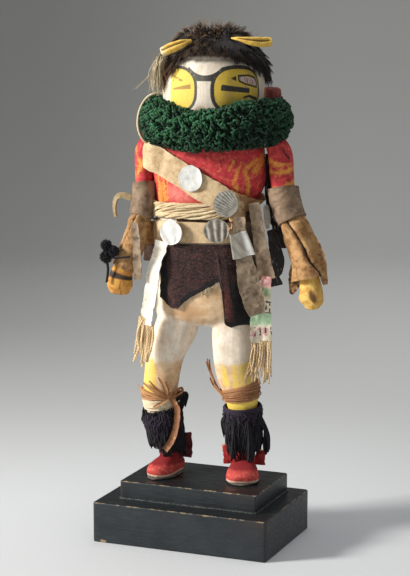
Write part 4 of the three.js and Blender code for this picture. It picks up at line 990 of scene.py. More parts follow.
def make_ruff():
    """A dark core under curled loops of yarn that stand out from it in every direction.

    Each loop is an arch: along T by cos(f), out by its height times sin(f), leaning along B by
    sin(2 f), where T and B lie in the core's surface."""
    rng = np.random.default_rng(31)
    core = on_ruff(turns(72)[:, None], turns(24)[None, :], RUFF_CORE)
    quads, uv = lattice(72, 24, True, True, size=(60, 280))
    shape = Shape().add(core, quads, uv, strand=0.0)
    count = 2350
    # even over the skin, but few against the neck; the flat front of the section is the longer way
    tries = count * 6
    turn, angle = rng.uniform(-np.pi, np.pi, tries), rng.uniform(0, 2 * np.pi, tries)
    room = np.hypot(0.72 * np.sin(turn), np.cos(turn)) * (0.7 + 0.3 * np.cos(turn))
    room = room * (0.85 + 0.15 * np.abs(np.sin(angle)))
    room = np.where(np.abs(turn) > 2.3, 0.2, 1.0) * room
    keep = rng.uniform(0, 1, tries) < room
    turn, angle = turn[keep][:count], angle[keep][:count]
    foot = on_ruff(angle, turn, RUFF_CORE)
    out = unit(on_ruff(angle, turn, 1.0, 3) - foot)
    spin = unit(np.cross(out, rng.normal(size=(len(turn), 3))))
    lean = np.cross(out, spin)
    f = np.linspace(-0.45, np.pi + 0.45, 6)[None, :, None]
    wide = rng.uniform(1.0, 1.9, len(turn))[:, None, None]
    lump = noise(foot, 7, 4)
    high = (rng.uniform(3.0, 4.8, len(turn)) + 1.7 * lump)[:, None, None]
    curl = rng.uniform(-1.4, 1.4, len(turn))[:, None, None]
    paths = foot[:, None] + spin[:, None] * wide * np.cos(f) * (1 + 0.35 * np.sin(f))
    paths = paths + out[:, None] * high * np.sin(f) + lean[:, None] * curl * np.sin(2 * f)
    paths[..., 2] -= (1 - np.sin(f[..., 0]) ** 2) * 0.2
    paths += rng.normal(size=paths.shape) * 0.12
    radii = rng.uniform(0.8, 1.12, len(turn))[:, None] * np.ones((1, 6))
    # painted light and shade: loops lighter on the lumps and darker between them, darker toward the figure's
    # left, away from the key light, and darker on the ruff's underside
    shade = np.clip(rng.normal(0.55, 0.18, len(turn)) + 0.3 * lump + 0.15 * noise(foot, 12, 8), 0, 1)
    to_left, from_low = step(-10, 55, foot[:, 0]), step(276, 300, foot[:, 2])
    shade = shade * (0.62 + 0.38 * (1 - to_left)) * (0.6 + 0.4 * from_low)
    shape.strands(paths, radii, 4, strand=shade)
    return finish_piece(shape.build("yarn_ruff"), ruff_wool(), "green_yarn", "ruff")


# Way round the head from its front in mm, and the height of the fur's lower edge there.
FUR_EDGE = np.array([
    [-126, 322], [-95, 323], [-70, 325], [-52, 328], [-42, 331], [-33, 335.5], [-26, 341.5],
    [-20.4, 347.5], [-12, 351.5], [-1.7, 352.4], [9, 351], [17.8, 348.5], [30, 346], [44, 343],
    [56, 340.5], [70, 336], [95, 328], [126, 322],
])
FUR_TOP, CROWN = 366, (3.0, -6.0)


def fur_dome(around, rise, reach):
    """A dome over the mask from the fur's edge up. `around` is the angle from the front."""
    edge = np.interp(around * HEAD_ROUND, FUR_EDGE[:, 0], FUR_EDGE[:, 1])
    over_brow = step(328, 349, edge)
    share = np.cos(rise * np.pi / 2 * 0.985) ** (0.8 + 0.2 * over_brow)
    z = edge + (FUR_TOP - edge) * np.sin(rise * np.pi / 2) ** (0.95 + 0.8 * over_brow)
    dx = np.sin(around) * (36.5 + reach) * share
    dy = -np.cos(around) * (38 + reach) * share
    x = 6 + dx * 1.06 + (1 - share) * (CROWN[0] - 6)
    y = 1 + dy + (1 - share) * CROWN[1]
    return xyz(x, y, z + reach * np.sin(rise * np.pi / 2))


def fur_hair():
    """Dark brown underneath, paler at the tips, reddish low at the right temple."""
    made, g, shader = new_material("fur_hair", roughness=0.62)
    tip = g.span(g.value("along"), 0.3, 1.0)
    base = g.blend(g.value("tone"), rgb(20, 15, 14), rgb(62, 44, 34))
    tips = g.blend(g.value("tone"), rgb(44, 32, 26), rgb(158, 128, 98))
    color = g.blend(tip, base, tips)
    rust = g.blend(tip, rgb(64, 34, 26), rgb(128, 84, 56))
    color = g.blend(g.value("warm"), color, rust)
    color = g.blend(g.value("jet"), color, rgb(13, 12, 14))
    join_up(g, shader, color, normal=g.bump(g.noise(g.uv((1, 0.2, 1)), 0.3), 0.3, 0.1))
    return made


def make_fur():
    """Locks of tapering hairs on a dome, each combed away from the crown, with some stray hairs.

    A hair is its root + length times (s times its lie + s squared times the way down), and draws
    in toward the middle hair of its lock by the lock's share."""
    rng = np.random.default_rng(47)
    around = np.linspace(-np.pi, np.pi, 96, endpoint=False)[None, :]
    base = fur_dome(around, shares(22)[:, None], 0.0)
    shape = Shape().tube(base, tone=0.1)
    locks, each, low_locks = 660, 11, 170
    rise = 1 - np.sqrt(1 - rng.uniform(0, 1, locks) * 0.97)
    rise[:low_locks] = rng.uniform(0.0, 0.1, low_locks)
    lock_around = rng.uniform(-np.pi, np.pi, locks)
    spread = 0.115 / np.maximum(np.cos(rise * 1.45), 0.25)
    a = lock_around[:, None] + rng.normal(size=(locks, each)) * spread[:, None] * 0.5
    a = (a + np.pi) % (2 * np.pi) - np.pi
    r = np.clip(rise[:, None] + rng.normal(size=(locks, each)) * 0.028, 0, 0.985)
    root = fur_dome(a, r, -0.6)
    low = np.maximum(r, 0.03)
    away = unit(fur_dome(a, low - 0.03, 0.0) - fur_dome(a, low, 0.0))
    out = unit(fur_dome(a, r, 4.0) - fur_dome(a, r, 0.0) + (0, 0, 1e-6))
    top = step(0.45, 0.9, r)[..., None]
    right_side = step(10, 30, root[..., :1]) * (1 - top)
    lie = out * (0.8 + 0.3 * top - 0.3 * right_side) + away * (0.6 - 0.25 * top)
    tousle = 0.3 + 0.28 * step(0.35, 0.7, rise)[:, None, None]
    lie = lie + rng.normal(size=(locks, 1, 3)) * (tousle - 0.1 * right_side.mean(1, keepdims=True))
    lie = unit(lie + rng.normal(size=(locks, each, 3)) * 0.12)
    length = rng.uniform(6.5, 11.5, locks)[:, None] * rng.uniform(0.75, 1.1, (locks, each))
    way = a * HEAD_ROUND
    brow = 1 - step(24, 44, np.abs(way - 4))
    length = length * (1 - 0.42 * brow * (1 - step(0.1, 0.35, r)))
    sides = step(0.2, 0.4, r) * (1 - step(0.55, 0.75, r))
    length = length * (1 + 0.3 * step(0.7, 0.95, r)) * (1 - 0.3 * sides)
    # the lowest hairs hang in points over the right eye and at the left temple
    tuft = np.exp(-(((way + 31) / 11) ** 2)) + 0.8 * np.exp(-(((way - 62) / 9) ** 2))
    length = length * (1 + 0.35 * tuft * (1 - step(0.05, 0.3, r)))
    length = length[..., None, None]
    s = np.array([0, 0.5, 1.0])[:, None]
    droop = (away * 0.3 + np.array([0, 0, -0.32])) * (1 - 0.75 * top)
    paths = root[..., None, :] + length * (s * lie[..., None, :] + s * s * droop[..., None, :])
    clump = rng.uniform(0.45, 0.85, locks)[:, None, None, None]
    paths = paths + (paths[:, :1] - paths) * clump * s**1.5
    radii = np.array([0.38, 0.3, 0.05]) * rng.uniform(0.75, 1.2, (locks, each, 1))
    tone = np.clip(rng.uniform(0, 1, (locks, 1)) ** 1.2 + rng.normal(size=(locks, each)) * 0.2, 0, 1)
    tone = tone * (0.4 + 0.6 * step(0.15, 0.6, r))
    warm = (1 - step(-24, -12, root[..., 0])) * (1 - step(340, 350, root[..., 2])) * 0.85
    warm = warm * (root[..., 1] < 12)
    jet = step(14, 34, root[..., 0]) * (1 - step(352, 362, root[..., 2])) * 0.85
    shape.strands(paths.reshape(-1, 3, 3), radii.reshape(-1, 3), 3, tone=tone.ravel(),
                  warm=warm.ravel(), jet=jet.ravel())
    # single long hairs: a few pale ones over the brow, others standing up at the crown
    count, pale = 90, 8
    a = np.concatenate([rng.normal(0.0, 0.1, pale), rng.uniform(-np.pi, np.pi, count - pale)])
    r = np.concatenate([rng.uniform(0.1, 0.3, pale), rng.uniform(0.35, 0.97, count - pale)])
    root = fur_dome(a, r, -0.4)
    out = unit(fur_dome(a, r, 4.0) - fur_dome(a, r, 0.0) + (0, 0, 1e-6))
    lie = unit(out + (0, 0, 0.5) + rng.normal(size=(count, 3)) * 0.25)
    lie[:pale] = unit(np.array([[0.05, -0.55, -0.8]]) + rng.normal(size=(pale, 3)) * 0.1)
    long = np.where(np.arange(count) < pale, 11.0, rng.uniform(9, 13, count))[:, None, None]
    paths = root[:, None] + long * s * lie[:, None] + (long * s * s) * np.array([0, 0, -0.18])
    radii = np.array([0.2, 0.15, 0.05]) * np.ones((count, 1))
    shape.strands(paths, radii, 3, tone=np.where(np.arange(count) < pale, 1.0, 0.55))
    return finish_piece(shape.build("fur_hair"), fur_hair(), "fur", "fur_cap")


# Middle x, y, z, half width and half depth of each rolled horn, from its inner end outward.
RIGHT_HORN = np.array([
    [-5, -35, 357, 1.4, 1.2], [-10.5, -37, 355.4, 3.0, 2.7], [-16.5, -37.6, 353.2, 3.8, 3.4],
    [-22.5, -36.6, 350.8, 4.0, 3.7], [-27.5, -34.5, 348.6, 3.7, 3.6],
])
LEFT_HORN = np.array([
    [27, -37.4, 359.6, 0.6, 0.7], [34, -37.6, 358.8, 1.8, 1.9], [42, -35.6, 357.4, 3.3, 3.0],
    [50, -32, 356.4, 4.0, 3.5], [56.5, -29, 356.6, 3.5, 3.2],
])


def horn_hide():
    """Stiff hide painted yellow, paler toward its outer end, with painted shade in the groove between its
    rolled edges.
    """
    made, g, shader = new_material("horn_hide", roughness=0.6)
    place = g.where()
    fine = g.noise(place, 0.9, detail=4)
    color = g.blend(g.span(g.noise(place, 4, detail=4), 0.36, 0.64), rgb(232, 192, 78),
                    rgb(202, 154, 58))
    color = g.coat(color, g.span(fine, 0.5, 0.68), 0.7, rgb(246, 224, 140))
    color = g.blend(g.value("worn"), color, rgb(224, 204, 160))
    # painted shade: dark brown in the groove and in the set-back middle of the hollow end
    color = g.blend(g.value("slit"), color, rgb(52, 34, 20))
    join_up(g, shader, color, normal=g.bump(fine, 0.4, 0.3))
    return made


def make_horn(name, stations, slit_at, worn, paint, *, node):
    """A rolled horn: a limb with a groove along it at one angle between two lips, painted dark as shade,
    and pale from a given share of its length outward."""
    t, angle = shares(60)[:, None], turns(48)[None, :]
    gap = np.abs((angle - slit_at + np.pi) % (2 * np.pi) - np.pi)
    inside = np.exp(-((gap / 0.2) ** 2)) * step(0.1, 0.3, t) * (1 - step(0.9, 0.99, t))
    lips = np.exp(-(((gap - 0.5) / 0.3) ** 2)) * step(0.05, 0.4, t)
    rings = on_limb(stations, t, angle, squareness=2.3)
    middle = along(stations, t)[..., :3]
    rings = middle + (rings - middle) * (1 - 0.55 * inside + 0.1 * lips)[..., None]
    rings = rings + unit(rings - middle) * (noise(rings, 3.5, 9) * 0.22)[..., None]
    # the outer end is a hollow roll: its rim turns in and the middle is set back
    last = rings[-1]
    hub = last.mean(0)
    back = unit(middle[0, 0] - middle[-1, 0])
    inner = [last + (hub - last) * f + back * d for f, d in ((0.12, -0.5), (0.3, -0.2), (0.42, 1.6))]
    rings = np.concatenate([rings, inner])
    # the groove and the set-back middle of the end are painted dark as shade; the end's rim is pale
    slit = np.concatenate([inside * np.ones_like(angle), np.zeros((2, 48)), np.ones((1, 48))])
    pale = np.concatenate([step(worn, worn + 0.2, t) * np.ones_like(angle), np.ones((2, 48)),
                           np.zeros((1, 48))])
    shape = Shape().tube(rings, slit=slit, worn=pale)
    finish_piece(shape.build(name), paint, "yellow_hide", node)


def make_horns():
    paint = horn_hide()
    make_horn("horn_right_roll", RIGHT_HORN, 1.9, 0.76, paint, node="horn_right")
    make_horn("horn_left_roll", LEFT_HORN, 1.25, 1.2, paint, node="horn_left")


def make_ear():
    """A small block of wood with rounded corners: a ball divided by its fifth-power norm."""
    round_block = ball(34, 56, 1.45)
    round_block = round_block / (np.abs(round_block) ** 5).sum(-1, keepdims=True) ** 0.2
    points = round_block * (8, 6.5, 8) + (51, 3, 311.4)
    points = points + unit(round_block) * (noise(points, 4, 3) * 0.3)[..., None]
    made, g, shader = new_material("ear_wood", roughness=0.78)
    place = g.where()
    fine = g.noise(place, 1.0, detail=5)
    color = g.blend(g.span(g.noise(place, 4, detail=4), 0.38, 0.62), rgb(134, 62, 54), rgb(96, 40, 38))
    color = g.coat(color, g.span(fine, 0.52, 0.7), 0.6, rgb(176, 104, 86))
    # painted highlight: pale peach on the ear's side toward the head, which faces the key light
    color = g.coat(color, g.value("bare"), g.span(fine, 0.3, 0.5), rgb(226, 176, 146))
    grain = g.use(GRAIN, Length=1.0)["Height"]
    join_up(g, shader, color, normal=g.bump(g.plus(fine, grain), 0.4, 0.4))
    # painted highlight on the side toward the head
    bare = 1 - step(45.5, 49, points[..., 0])
    shape = Shape().tube(points, bare=bare)
    finish_piece(shape.build("ear_block"), made, "red_wood", "ear_left")


def make_fibre():
    """Dry plant fibre in a loose tuft below the right horn, and a pale tie beside the ruff."""
    rng = np.random.default_rng(5)
    count = 150
    start = np.array([-30.5, -27, 345]) + rng.normal(size=(count, 3)) * (1.6, 1.8, 1.5)
    fan = rng.normal(size=count)
    s = shares(7)[None, :, None]
    drift = -2.2 - 5.0 * fan * rng.uniform(0.3, 1, count)
    end = start + xyz(drift, 5 + 3 * rng.normal(size=count), -rng.uniform(17, 31, count))
    swing = rng.normal(size=(count, 1, 3)) * (2.2, 1.5, 0.6)
    paths = start[:, None] + (end - start)[:, None] * s + swing * np.sin(s * np.pi) * s
    paths[..., 0] -= 3.4 * np.sin(s[..., 0] * np.pi * 0.8)
    # three hairs stand out sideways
    paths[:3] = np.array([-36, -24, 334]) + s * (-18, 3, -16.5) + rng.normal(size=(3, 1, 3)) * s * 1.6
    radii = rng.uniform(0.16, 0.34, (count, 1)) * (1 - 0.6 * s[..., 0])
    shape = Shape().strands(paths, radii, 4, strand=rng.uniform(0, 1, count))
    # the knot of the tuft, and the tie that runs down the ruff's right side
    turn = np.linspace(2.5, -1.45, 26)
    tie = on_ruff(np.full(26, np.pi * 1.09), turn, 1.0, 1.7) + np.stack(
        [0 * turn, 2 * np.sin(turn * 3), 0 * turn], -1)
    rope = np.stack([tie, tie + (0.5, 2.2, 0.3)])
    shape.strands(rope, np.full((2, 26), 1.0), 6, strand=0.55)
    made, g, shader = new_material("plant_fibre", roughness=0.85)
    tone = g.plus(g.value("strand"), g.times(g.noise(g.where(), 1.2), 0.4))
    color = g.blend(g.span(tone, 0.1, 1.2), rgb(142, 124, 96), rgb(226, 212, 180))
    join_up(g, shader, color, normal=g.bump(g.noise(g.uv((1, 0.15, 1)), 0.3), 0.4, 0.15))
    finish_piece(shape.build("fibre_strands"), made, "pale_fibre", "fibre_tuft")


# ------------------------------------------------------------------------------- base and foot pads


def rounded_outline(half_width, half_depth, radius, per_side=26, per_corner=6):
    """Anticlockwise outline of a rectangle whose corners have a radius."""
    points = []
    corner = np.linspace(0, np.pi / 2, per_corner, endpoint=False)
    for k, (sx, sy) in enumerate(((1, 1), (-1, 1), (-1, -1), (1, -1))):
        turn = corner + k * np.pi / 2
        cx, cy = sx * (half_width - radius), sy * (half_depth - radius)
        points.append(np.stack([cx + radius * np.cos(turn), cy + radius * np.sin(turn)], -1))
        last = turn[0] + np.pi / 2
        end = np.array([cx + radius * np.cos(last), cy + radius * np.sin(last)])
        nx, ny = ((-1, 1), (-1, -1), (1, -1), (1, 1))[k]
        ahead = np.array([nx * (half_width - radius), ny * (half_depth - radius)]) + (end - (cx, cy))
        f = np.linspace(0, 1, per_side, endpoint=False)[:, None]
        points.append(end + (ahead - end) * f)
    return np.concatenate(points)


def block_rings(low, high, edge, radius):
    """Rings of a block between two corners in metres, up its side, over its edge and across its top.

    Also the distance in mm from the top edge and from the nearest upright edge."""
    half, middle = (high - low) / 2 / MM, (high + low) / 2 / MM
    bend = np.linspace(0, np.pi / 2, 5)
    bottom, height = low[2] / MM, high[2] / MM
    inset = np.concatenate([[0.4, 0, 0, 0, 0, 0], edge * (1 - np.cos(bend)),
                            [edge + 0.6, edge + 1.6, edge + 4, edge + 12, edge + 28]])
    z = np.concatenate([[bottom, bottom + 0.5], np.linspace(bottom + 1.5, height - 4, 3),
                        [height - edge - 1.2], height - edge + edge * np.sin(bend), [height] * 5])
    rings = []
    for step_in, level in zip(inset, z):
        flat = rounded_outline(half[0] - step_in, half[1] - step_in, max(radius - step_in * 0.3, 0.2))
        rings.append(np.column_stack([flat + middle[:2], np.full(len(flat), level)]))
    rings = np.array(rings)
    off = np.abs(rings[..., :2] - middle[:2]) - half[:2]
    rim = np.maximum(height - rings[..., 2], -off.max(-1))
    upright = -off.min(-1)
    return rings, rim, upright


def black_paint():
    """Old satin black paint: faint brush marks, tan wood where the edges are rubbed."""
    made, g, shader = new_material("black_paint", roughness=0.42, Specular_IOR_Level=0.45)
    place = g.where()
    brush = g.noise(g.where((0.12, 0.5, 1.3)), 1.6, detail=5)
    slant = g.noise(g.where((1, 0.35, 1.6), (0.75, 0, 0)), 1.5, detail=5)
    fine = g.noise(place, 0.9, detail=5, rough=0.65)
    cloud = g.noise(place, 22, detail=5)
    color = g.blend(g.span(cloud, 0.35, 0.65), rgb(23, 29, 33), rgb(32, 39, 43))
    color = g.coat(color, g.span(brush, 0.5, 0.68), 0.35, rgb(46, 54, 57))
    brown = g.times(g.value("brown"), g.span(fine, 0.4, 0.62))
    color = g.coat(color, brown, 0.5, rgb(84, 56, 44))
    rubbed = g.plus(g.value("rim"), g.times(g.noise(place, 6, detail=5), 3.4))
    # painted shade: the top faces of the blocks are painted darker than their sides
    color = g.coat(color, g.value("deck"), 0.62, rgb(12, 17, 21))
    line = g.times(g.span(rubbed, 1.9, 2.4, 1.0, 0.0), g.span(fine, 0.32, 0.5))
    color = g.coat(color, line, 0.8, rgb(166, 140, 108))
    upright = g.plus(g.value("upright"), g.times(g.noise(place, 4, detail=5), 4.4))
    dent = g.times(g.span(upright, 1.7, 2.3, 1.0, 0.0), 0.6)
    color = g.blend(dent, color, rgb(120, 98, 72))
    speck = g.span(g.cells(place, 5.2), 0.0, 0.055, 1.0, 0.0)
    color = g.coat(color, speck, 0.45, rgb(146, 134, 116))
    # the lip round the upper block's foot is painted pale grey
    dust = g.times(g.value("dust"), g.span(fine, 0.44, 0.62))
    color = g.blend(dust, color, rgb(134, 142, 134))
    # a chip low at the front, toward the figure's right, shows bare wood
    away = g.node("ShaderNodeVectorMath", {0: place, 1: (-66.0, -51.0, 1.0)}, operation="SUBTRACT").outputs[0]
    away = g.node("ShaderNodeVectorMath", {0: away, 1: (0.5, 1.0, 1.0)}, operation="MULTIPLY").outputs[0]
    chip = g.span(g.plus(g.length(away), g.times(fine, 3.0)), 2.6, 3.2, 1.0, 0.0)
    color = g.coat(color, chip, 0.8, rgb(160, 136, 104))
    height = g.plus(g.times(brush, 0.4), g.times(slant, 0.6))
    height = g.plus(height, g.times(fine, 0.25))
    rough = g.plus(g.span(brush, 0.35, 0.65, 0.34, 0.5), g.times(line, 0.3))
    join_up(g, shader, color, rough, g.bump(height, 0.28, 0.6))
    return made


def block(low, high, radius, corner, reach, size):
    """A painted block between two corners in metres, browned within `reach` mm of a point near its
    right or left front top corner, and painted darker on its top face as shade."""
    rings, rim, upright = block_rings(low, high, 1.1, radius)
    brown = np.exp(-(((rings - corner) / reach) ** 2).sum(-1))
    top = high[2] / MM
    # painted shade on the top face
    deck = step(top - 0.3, top - 0.05, rings[..., 2])
    return Shape().tube(rings * MM, size=size, rim=rim, upright=upright, brown=brown, deck=deck)


def make_base():
    """Two blocks; the upper one has a thin lip round its foot, painted pale grey."""
    paint = black_paint()
    low, high = (np.array(c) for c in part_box("base_upper"))
    lip = np.array([1.0, 1.0, 0.0]) * MM
    corner = high[0] / MM - 8, low[1] / MM + 14, high[2] / MM
    upper = block(low + lip, high - lip, 1.8, corner, (17, 18, 6), (360, 80))
    ledge, _, _ = block_rings(low, np.array([high[0], high[1], low[2] + 1.1 * MM]), 0.4, 2.4)
    upper.tube(ledge[[0, 1, 5, 8, 10, 12, 14]] * MM, rim=9.0, upright=9.0, dust=0.55)
    low, high = (np.array(c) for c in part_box("base_lower"))
    corner = high[0] / MM, low[1] / MM, high[2] / MM
    lower = block(low, high, 2.2, corner, (20, 26, 9), (450, 120))
    for shape, node in ((upper, "base_upper"), (lower, "base_lower")):
        thing = shape.build(node + "_block", sharp=50, in_metres=True)
        finish_piece(thing, paint, "black_paint", node)


def make_pads():
    """A pad is an oval plate of felt under each foot, its rim uneven and its top edge rounded."""
    made, g, shader = new_material("pad_felt", roughness=0.9)
    cloud, fine = g.noise(g.where(), 5, detail=5, rough=0.62), g.noise(g.where(), 0.5)
    felt = g.blend(g.span(cloud, 0.33, 0.66), rgb(112, 106, 98), rgb(74, 70, 66))
    felt = g.coat(felt, g.span(fine, 0.54, 0.68), 0.5, rgb(146, 138, 126))
    join_up(g, shader, felt, normal=g.bump(fine, 0.5, 0.3))
    for side, foot in (("right", RIGHT_FOOT), ("left", LEFT_FOOT)):
        out = math.radians(foot["toe_out"])
        ahead = np.array([math.sin(out), -math.cos(out)])
        middle = np.array(foot["heel"]) + ahead * 0.56 * foot["length"]
        rings = []
        for share, rise in ((0.97, 0), (1, 0.3), (1, 1.1), (0.98, 1.35), (0.8, 1.4)):
            dx, dy = oval(turns(72), foot["half_width"] * share, 19 * share)
            flat = middle - np.outer(dx, (ahead[1], -ahead[0])) + np.outer(dy, ahead)
            flat = flat + unit(flat - middle) * noise(np.column_stack([flat, 0 * dx]), 5, 2)[:, None] * 0.3
            rings.append(np.column_stack([flat, np.full(72, GAP + rise)]))
        shape = Shape().tube(np.array(rings))
        finish_piece(shape.build(f"foot_pad_{side}_felt", sharp=60), made, "pad", f"foot_pad_{side}")


# ------------------------------------------------------------------------------ dress of the trunk

CORD_TOP, BELT_TOP, BELT_BOTTOM = 229, 213, 196.2  # heights on the trunk
CORD_DEPTH, LEATHER, STRIP = 4.8, 1.4, 1.1  # thickness of the cord's turns, the belts and the straps


def suede(name, light, dark, crease, dirt, stain=None):
    """Suede, which goes to another colour by a point value, if one is given: stains, and painted shade in the
    seams of the cuffs and forearm wraps.
    """
    made, g, shader = new_material(name, roughness=0.85)
    hide = g.use(HIDE, Light=rgb(*light), Dark=rgb(*dark), Crease=rgb(*crease), Dirt=dirt)
    color = hide["Color"]
    if stain:
        ragged = g.plus(g.value("stain"), g.minus(g.noise(g.where(), 2.6, 5), 0.5))
        color = g.blend(g.span(ragged, 0.35, 0.65), color, rgb(*stain))
    join_up(g, shader, color, hide["Roughness"], g.bump(hide["Height"], 0.5, 0.4))
    return made


def plain_yarn(name, light, dark, ply):
    """Twisted cotton of one kind."""
    made, g, shader = new_material(name, roughness=0.9)
    yarn = g.use(YARN, Light=rgb(*light), Dark=rgb(*dark), Ply_mm=ply)
    join_up(g, shader, yarn["Color"], normal=g.bump(yarn["Height"], 0.5, 0.3))
    return made


def closed_cord(shape, path, radius, sides, **values):
    """An endless round cord along a closed path (K, 3)."""
    tangent = unit(np.roll(path, -1, 0) - np.roll(path, 1, 0))
    side = unit(np.cross(tangent, (0, 0, 1)))
    up = np.cross(side, tangent)
    f = turns(sides)[None, :, None]
    rings = path[:, None] + radius * (side[:, None] * np.cos(f) + up[:, None] * np.sin(f))
    length = np.linalg.norm(path - np.roll(path, 1, 0), axis=1).sum()
    quads, uv = lattice(len(path), sides, True, True, size=(radius * 6.3, length))
    shape.add(rings, quads, uv, **values)


def make_waist_cord():
    """Loosely twisted cotton: each of three turns is a bundle whose strands wind slowly round it."""
    shape = Shape()
    angle = turns(200)
    circle = xyz(np.cos(angle) * 30, np.sin(angle) * 30, 0)
    for k, z in enumerate((226.6, 222.3, 218.0)):
        level = z + 0.9 * noise(circle, 22, k) + 0.4 * noise(circle, 8, k + 9)
        strands = []
        for j in range(6):
            wind = angle * (5 + k) + j * np.pi / 3 + 0.8 * noise(circle, 14, 3 + j)
            up = level + 1.75 * np.sin(wind) + 0.2 * noise(circle, 5, j)
            strands.append(on_trunk(angle, up, GAP + 2.0 + 1.1 * np.cos(wind)))
        for j, strand in enumerate(strands):
            tone = 0.35 + 0.6 * ((j * 0.37 + k * 0.2) % 1)
            closed_cord(shape, strand, 0.92, 5, strand=tone, knot=0.0)
    # knots at the left, tied off under the bandolier
    rng = np.random.default_rng(3)
    for x, z in ((25.5, 216.6), (29.5, 214.6), (33, 218.4)):
        points = ball(12, 16, 1.4) * (2.4, 2, 2.1)
        points = points * (1 + 0.16 * noise(points, 1.2, int(x)))[..., None]
        shape.tube(points + (x, -26.5 + 0.35 * (x - 24), z), strand=0.6, knot=1.0)
    start = np.array([29, -26, 214]) + rng.normal(size=(7, 3)) * (1.6, 0.4, 0.6)
    s = shares(6)[None, :, None]
    ends = rng.normal(size=(7, 1, 3)) * (2.4, 0.4, 1) + (0.5, -0.4, -5.5)
    shape.strands(start[:, None] + ends * s, np.full((7, 6), 0.5), 5, strand=0.5, knot=1.0)
    made, g, shader = new_material("cotton_cord", roughness=0.9)
    yarn = g.use(YARN, Light=rgb(248, 230, 192), Dark=rgb(190, 160, 116), Ply_mm=3.2)
    stain = g.span(g.noise(g.where(), 8, detail=4), 0.52, 0.7, 0.0, 0.4)
    color = g.blend(stain, yarn["Color"], rgb(176, 146, 108))
    color = g.coat(color, g.value("knot"), 0.75, rgb(196, 142, 88))
    join_up(g, shader, color, normal=g.bump(yarn["Height"], 0.6, 0.35))
    finish_piece(shape.build("waist_cord_turns"), made, "cream_cord", "waist_cord")


def make_belt(leather):
    """A wide band round the trunk between two ragged edges, rippled and a little bowed outward."""
    angle = turns(220)[None, :]
    way = angle * 38  # mm round the waist
    v = shares(26)[:, None]
    edge = 0.5 * noise(xyz(way, 0, 0), 6, 5)
    low, high = BELT_BOTTOM + 0.3 - edge, BELT_TOP - 0.2 + 0.7 * edge
    z = low + (high - low) * v
    ripple = 0.45 * noise(xyz(way, z, 0), 7, 2)
    ripple = ripple + 0.35 * np.sin(v * np.pi) + 0.3
    outer = on_trunk(angle, z, GAP + LEATHER + ripple)
    inner = on_trunk(angle, z, GAP)
    shape = Shape().slab(outer, inner, around=True, stain=0.35 * (1 - step(0, 0.12, v)))
    return finish_piece(shape.build("belt_leather", sharp=50), leather, "tan_leather", "belt")


SLOPE = math.radians(29)


def make_bandolier(leather):
    """A loop in a slanted plane: height z where x sin(slope) + z cos(slope) is the band's level."""
    angle = turns(300)[None, :]
    way = angle * 40  # mm round the trunk
    v = np.linspace(-1, 1, 30)[:, None]
    nibble = 0.7 * noise(xyz(way, 0, 3), 4, 6) + 0.35 * noise(xyz(way, 0, 0), 1.6, 7)
    middle_level, half_width = 212, 10.2
    level = middle_level + v * half_width + nibble * step(-0.2, 1, v) + 0.4 * nibble * step(0.2, 1, -v)
    z = np.full(level.shape, 240.0)
    for _ in range(12):
        x = on_trunk(angle, z, 2.0)[..., 0]
        z = 0.5 * z + 0.5 * (level - x * math.sin(SLOPE)) / math.cos(SLOPE)
    z = np.minimum(z, 283)
    lift = CORD_DEPTH * (1 - step(CORD_TOP + 1, CORD_TOP + 11, z))
    # at the right shoulder it lies over the top of the arm
    lift = lift + 5.5 * step(-30, -42, x) * step(246, 256, z)
    wave = 0.5 * noise(xyz(way, v * 10, 0), 8, 12) + 0.25
    wave = wave + 0.7 * (np.abs(v) ** 4) * noise(xyz(way, 0, 0), 9, 2)
    outer = on_trunk(angle, z, GAP + lift + LEATHER + wave)
    inner = on_trunk(angle, z, GAP + lift + np.minimum(wave, 0) * 0.4)
    front_end = step(22, 34, x) * (np.sin(angle) < 0)
    stain = np.clip(front_end * 0.75 + 0.3 * step(0.7, 1, v), 0, 1)
    shape = Shape().slab(outer, inner, around=True, stain=stain)
    finish_piece(shape.build("bandolier_leather", sharp=50), leather, "tan_leather", "bandolier")


def trunk_front(x, z, reach):
    """Point on the trunk's front at x, and the way it faces."""
    middle, half_width, half_depth = smooth_at(TRUNK[:, 0], TRUNK[:, 1:], z)

    def find(at):
        share = (at - middle) / (half_width + reach)
        n = TRUNK_SQUARENESS
        return np.array([at, -((1 - abs(share) ** n) ** (1 / n)) * (half_depth + reach), z])

    across = unit(find(x + 1) - find(x - 1))
    return find(x), across, np.cross(across, (0, 0, 1))


# Middle x and z, half width, half height, reach, how its ribs run (count, slant, fan), their
# height, number of straight cuts round the rim, and how grey the tin is painted.
DISCS = {
    "tin_disc_chest_upper": (-7.6, 248.8, 9.8, 10.4, 3.4, (1.6, 0.5, 0.0), 0.1, 10, 0.0),
    "tin_disc_chest_lower": (21.4, 229.5, 9.6, 10.6, 9.2, (12.0, 1.0, 0.5), 0.3, 13, 0.8),
    "tin_disc_belt_right": (-24, 205.3, 9.8, 10.6, 6.6, (2.2, 0.3, 0.6), 0.3, 9, 0.05),
    "tin_disc_belt_left": (13.0, 207.2, 10.2, 9.6, 6.6, (4.6, 0.08, 0.15), 0.42, 8, 0.9),
}


def tin(name, white, grey):
    """Old tin plate: a grey that is cloudy and scratched, painted darker in its troughs and creases as shade.
    """
    made, g, shader = new_material(name, roughness=0.4, Metallic=0.5)
    place = g.where()
    cloud = g.noise(place, 3.5, detail=5)
    fine = g.noise(place, 0.6, detail=4)
    bright = g.blend(g.span(cloud, 0.4, 0.7), rgb(*white), rgb(222, 220, 214))
    dull = g.blend(g.span(cloud, 0.36, 0.64), rgb(*grey), rgb(140, 132, 120))
    color = g.blend(g.value("dull"), bright, dull)
    # painted shade: darker in the troughs between the ribs and in the creases
    color = g.coat(color, g.value("low"), 0.38, rgb(96, 88, 76))
    color = g.coat(color, g.span(fine, 0.6, 0.72), 0.18, rgb(112, 98, 82))
    join_up(g, shader, color, g.span(cloud, 0.3, 0.7, 0.3, 0.5), g.bump(fine, 0.12, 0.2))
    return made


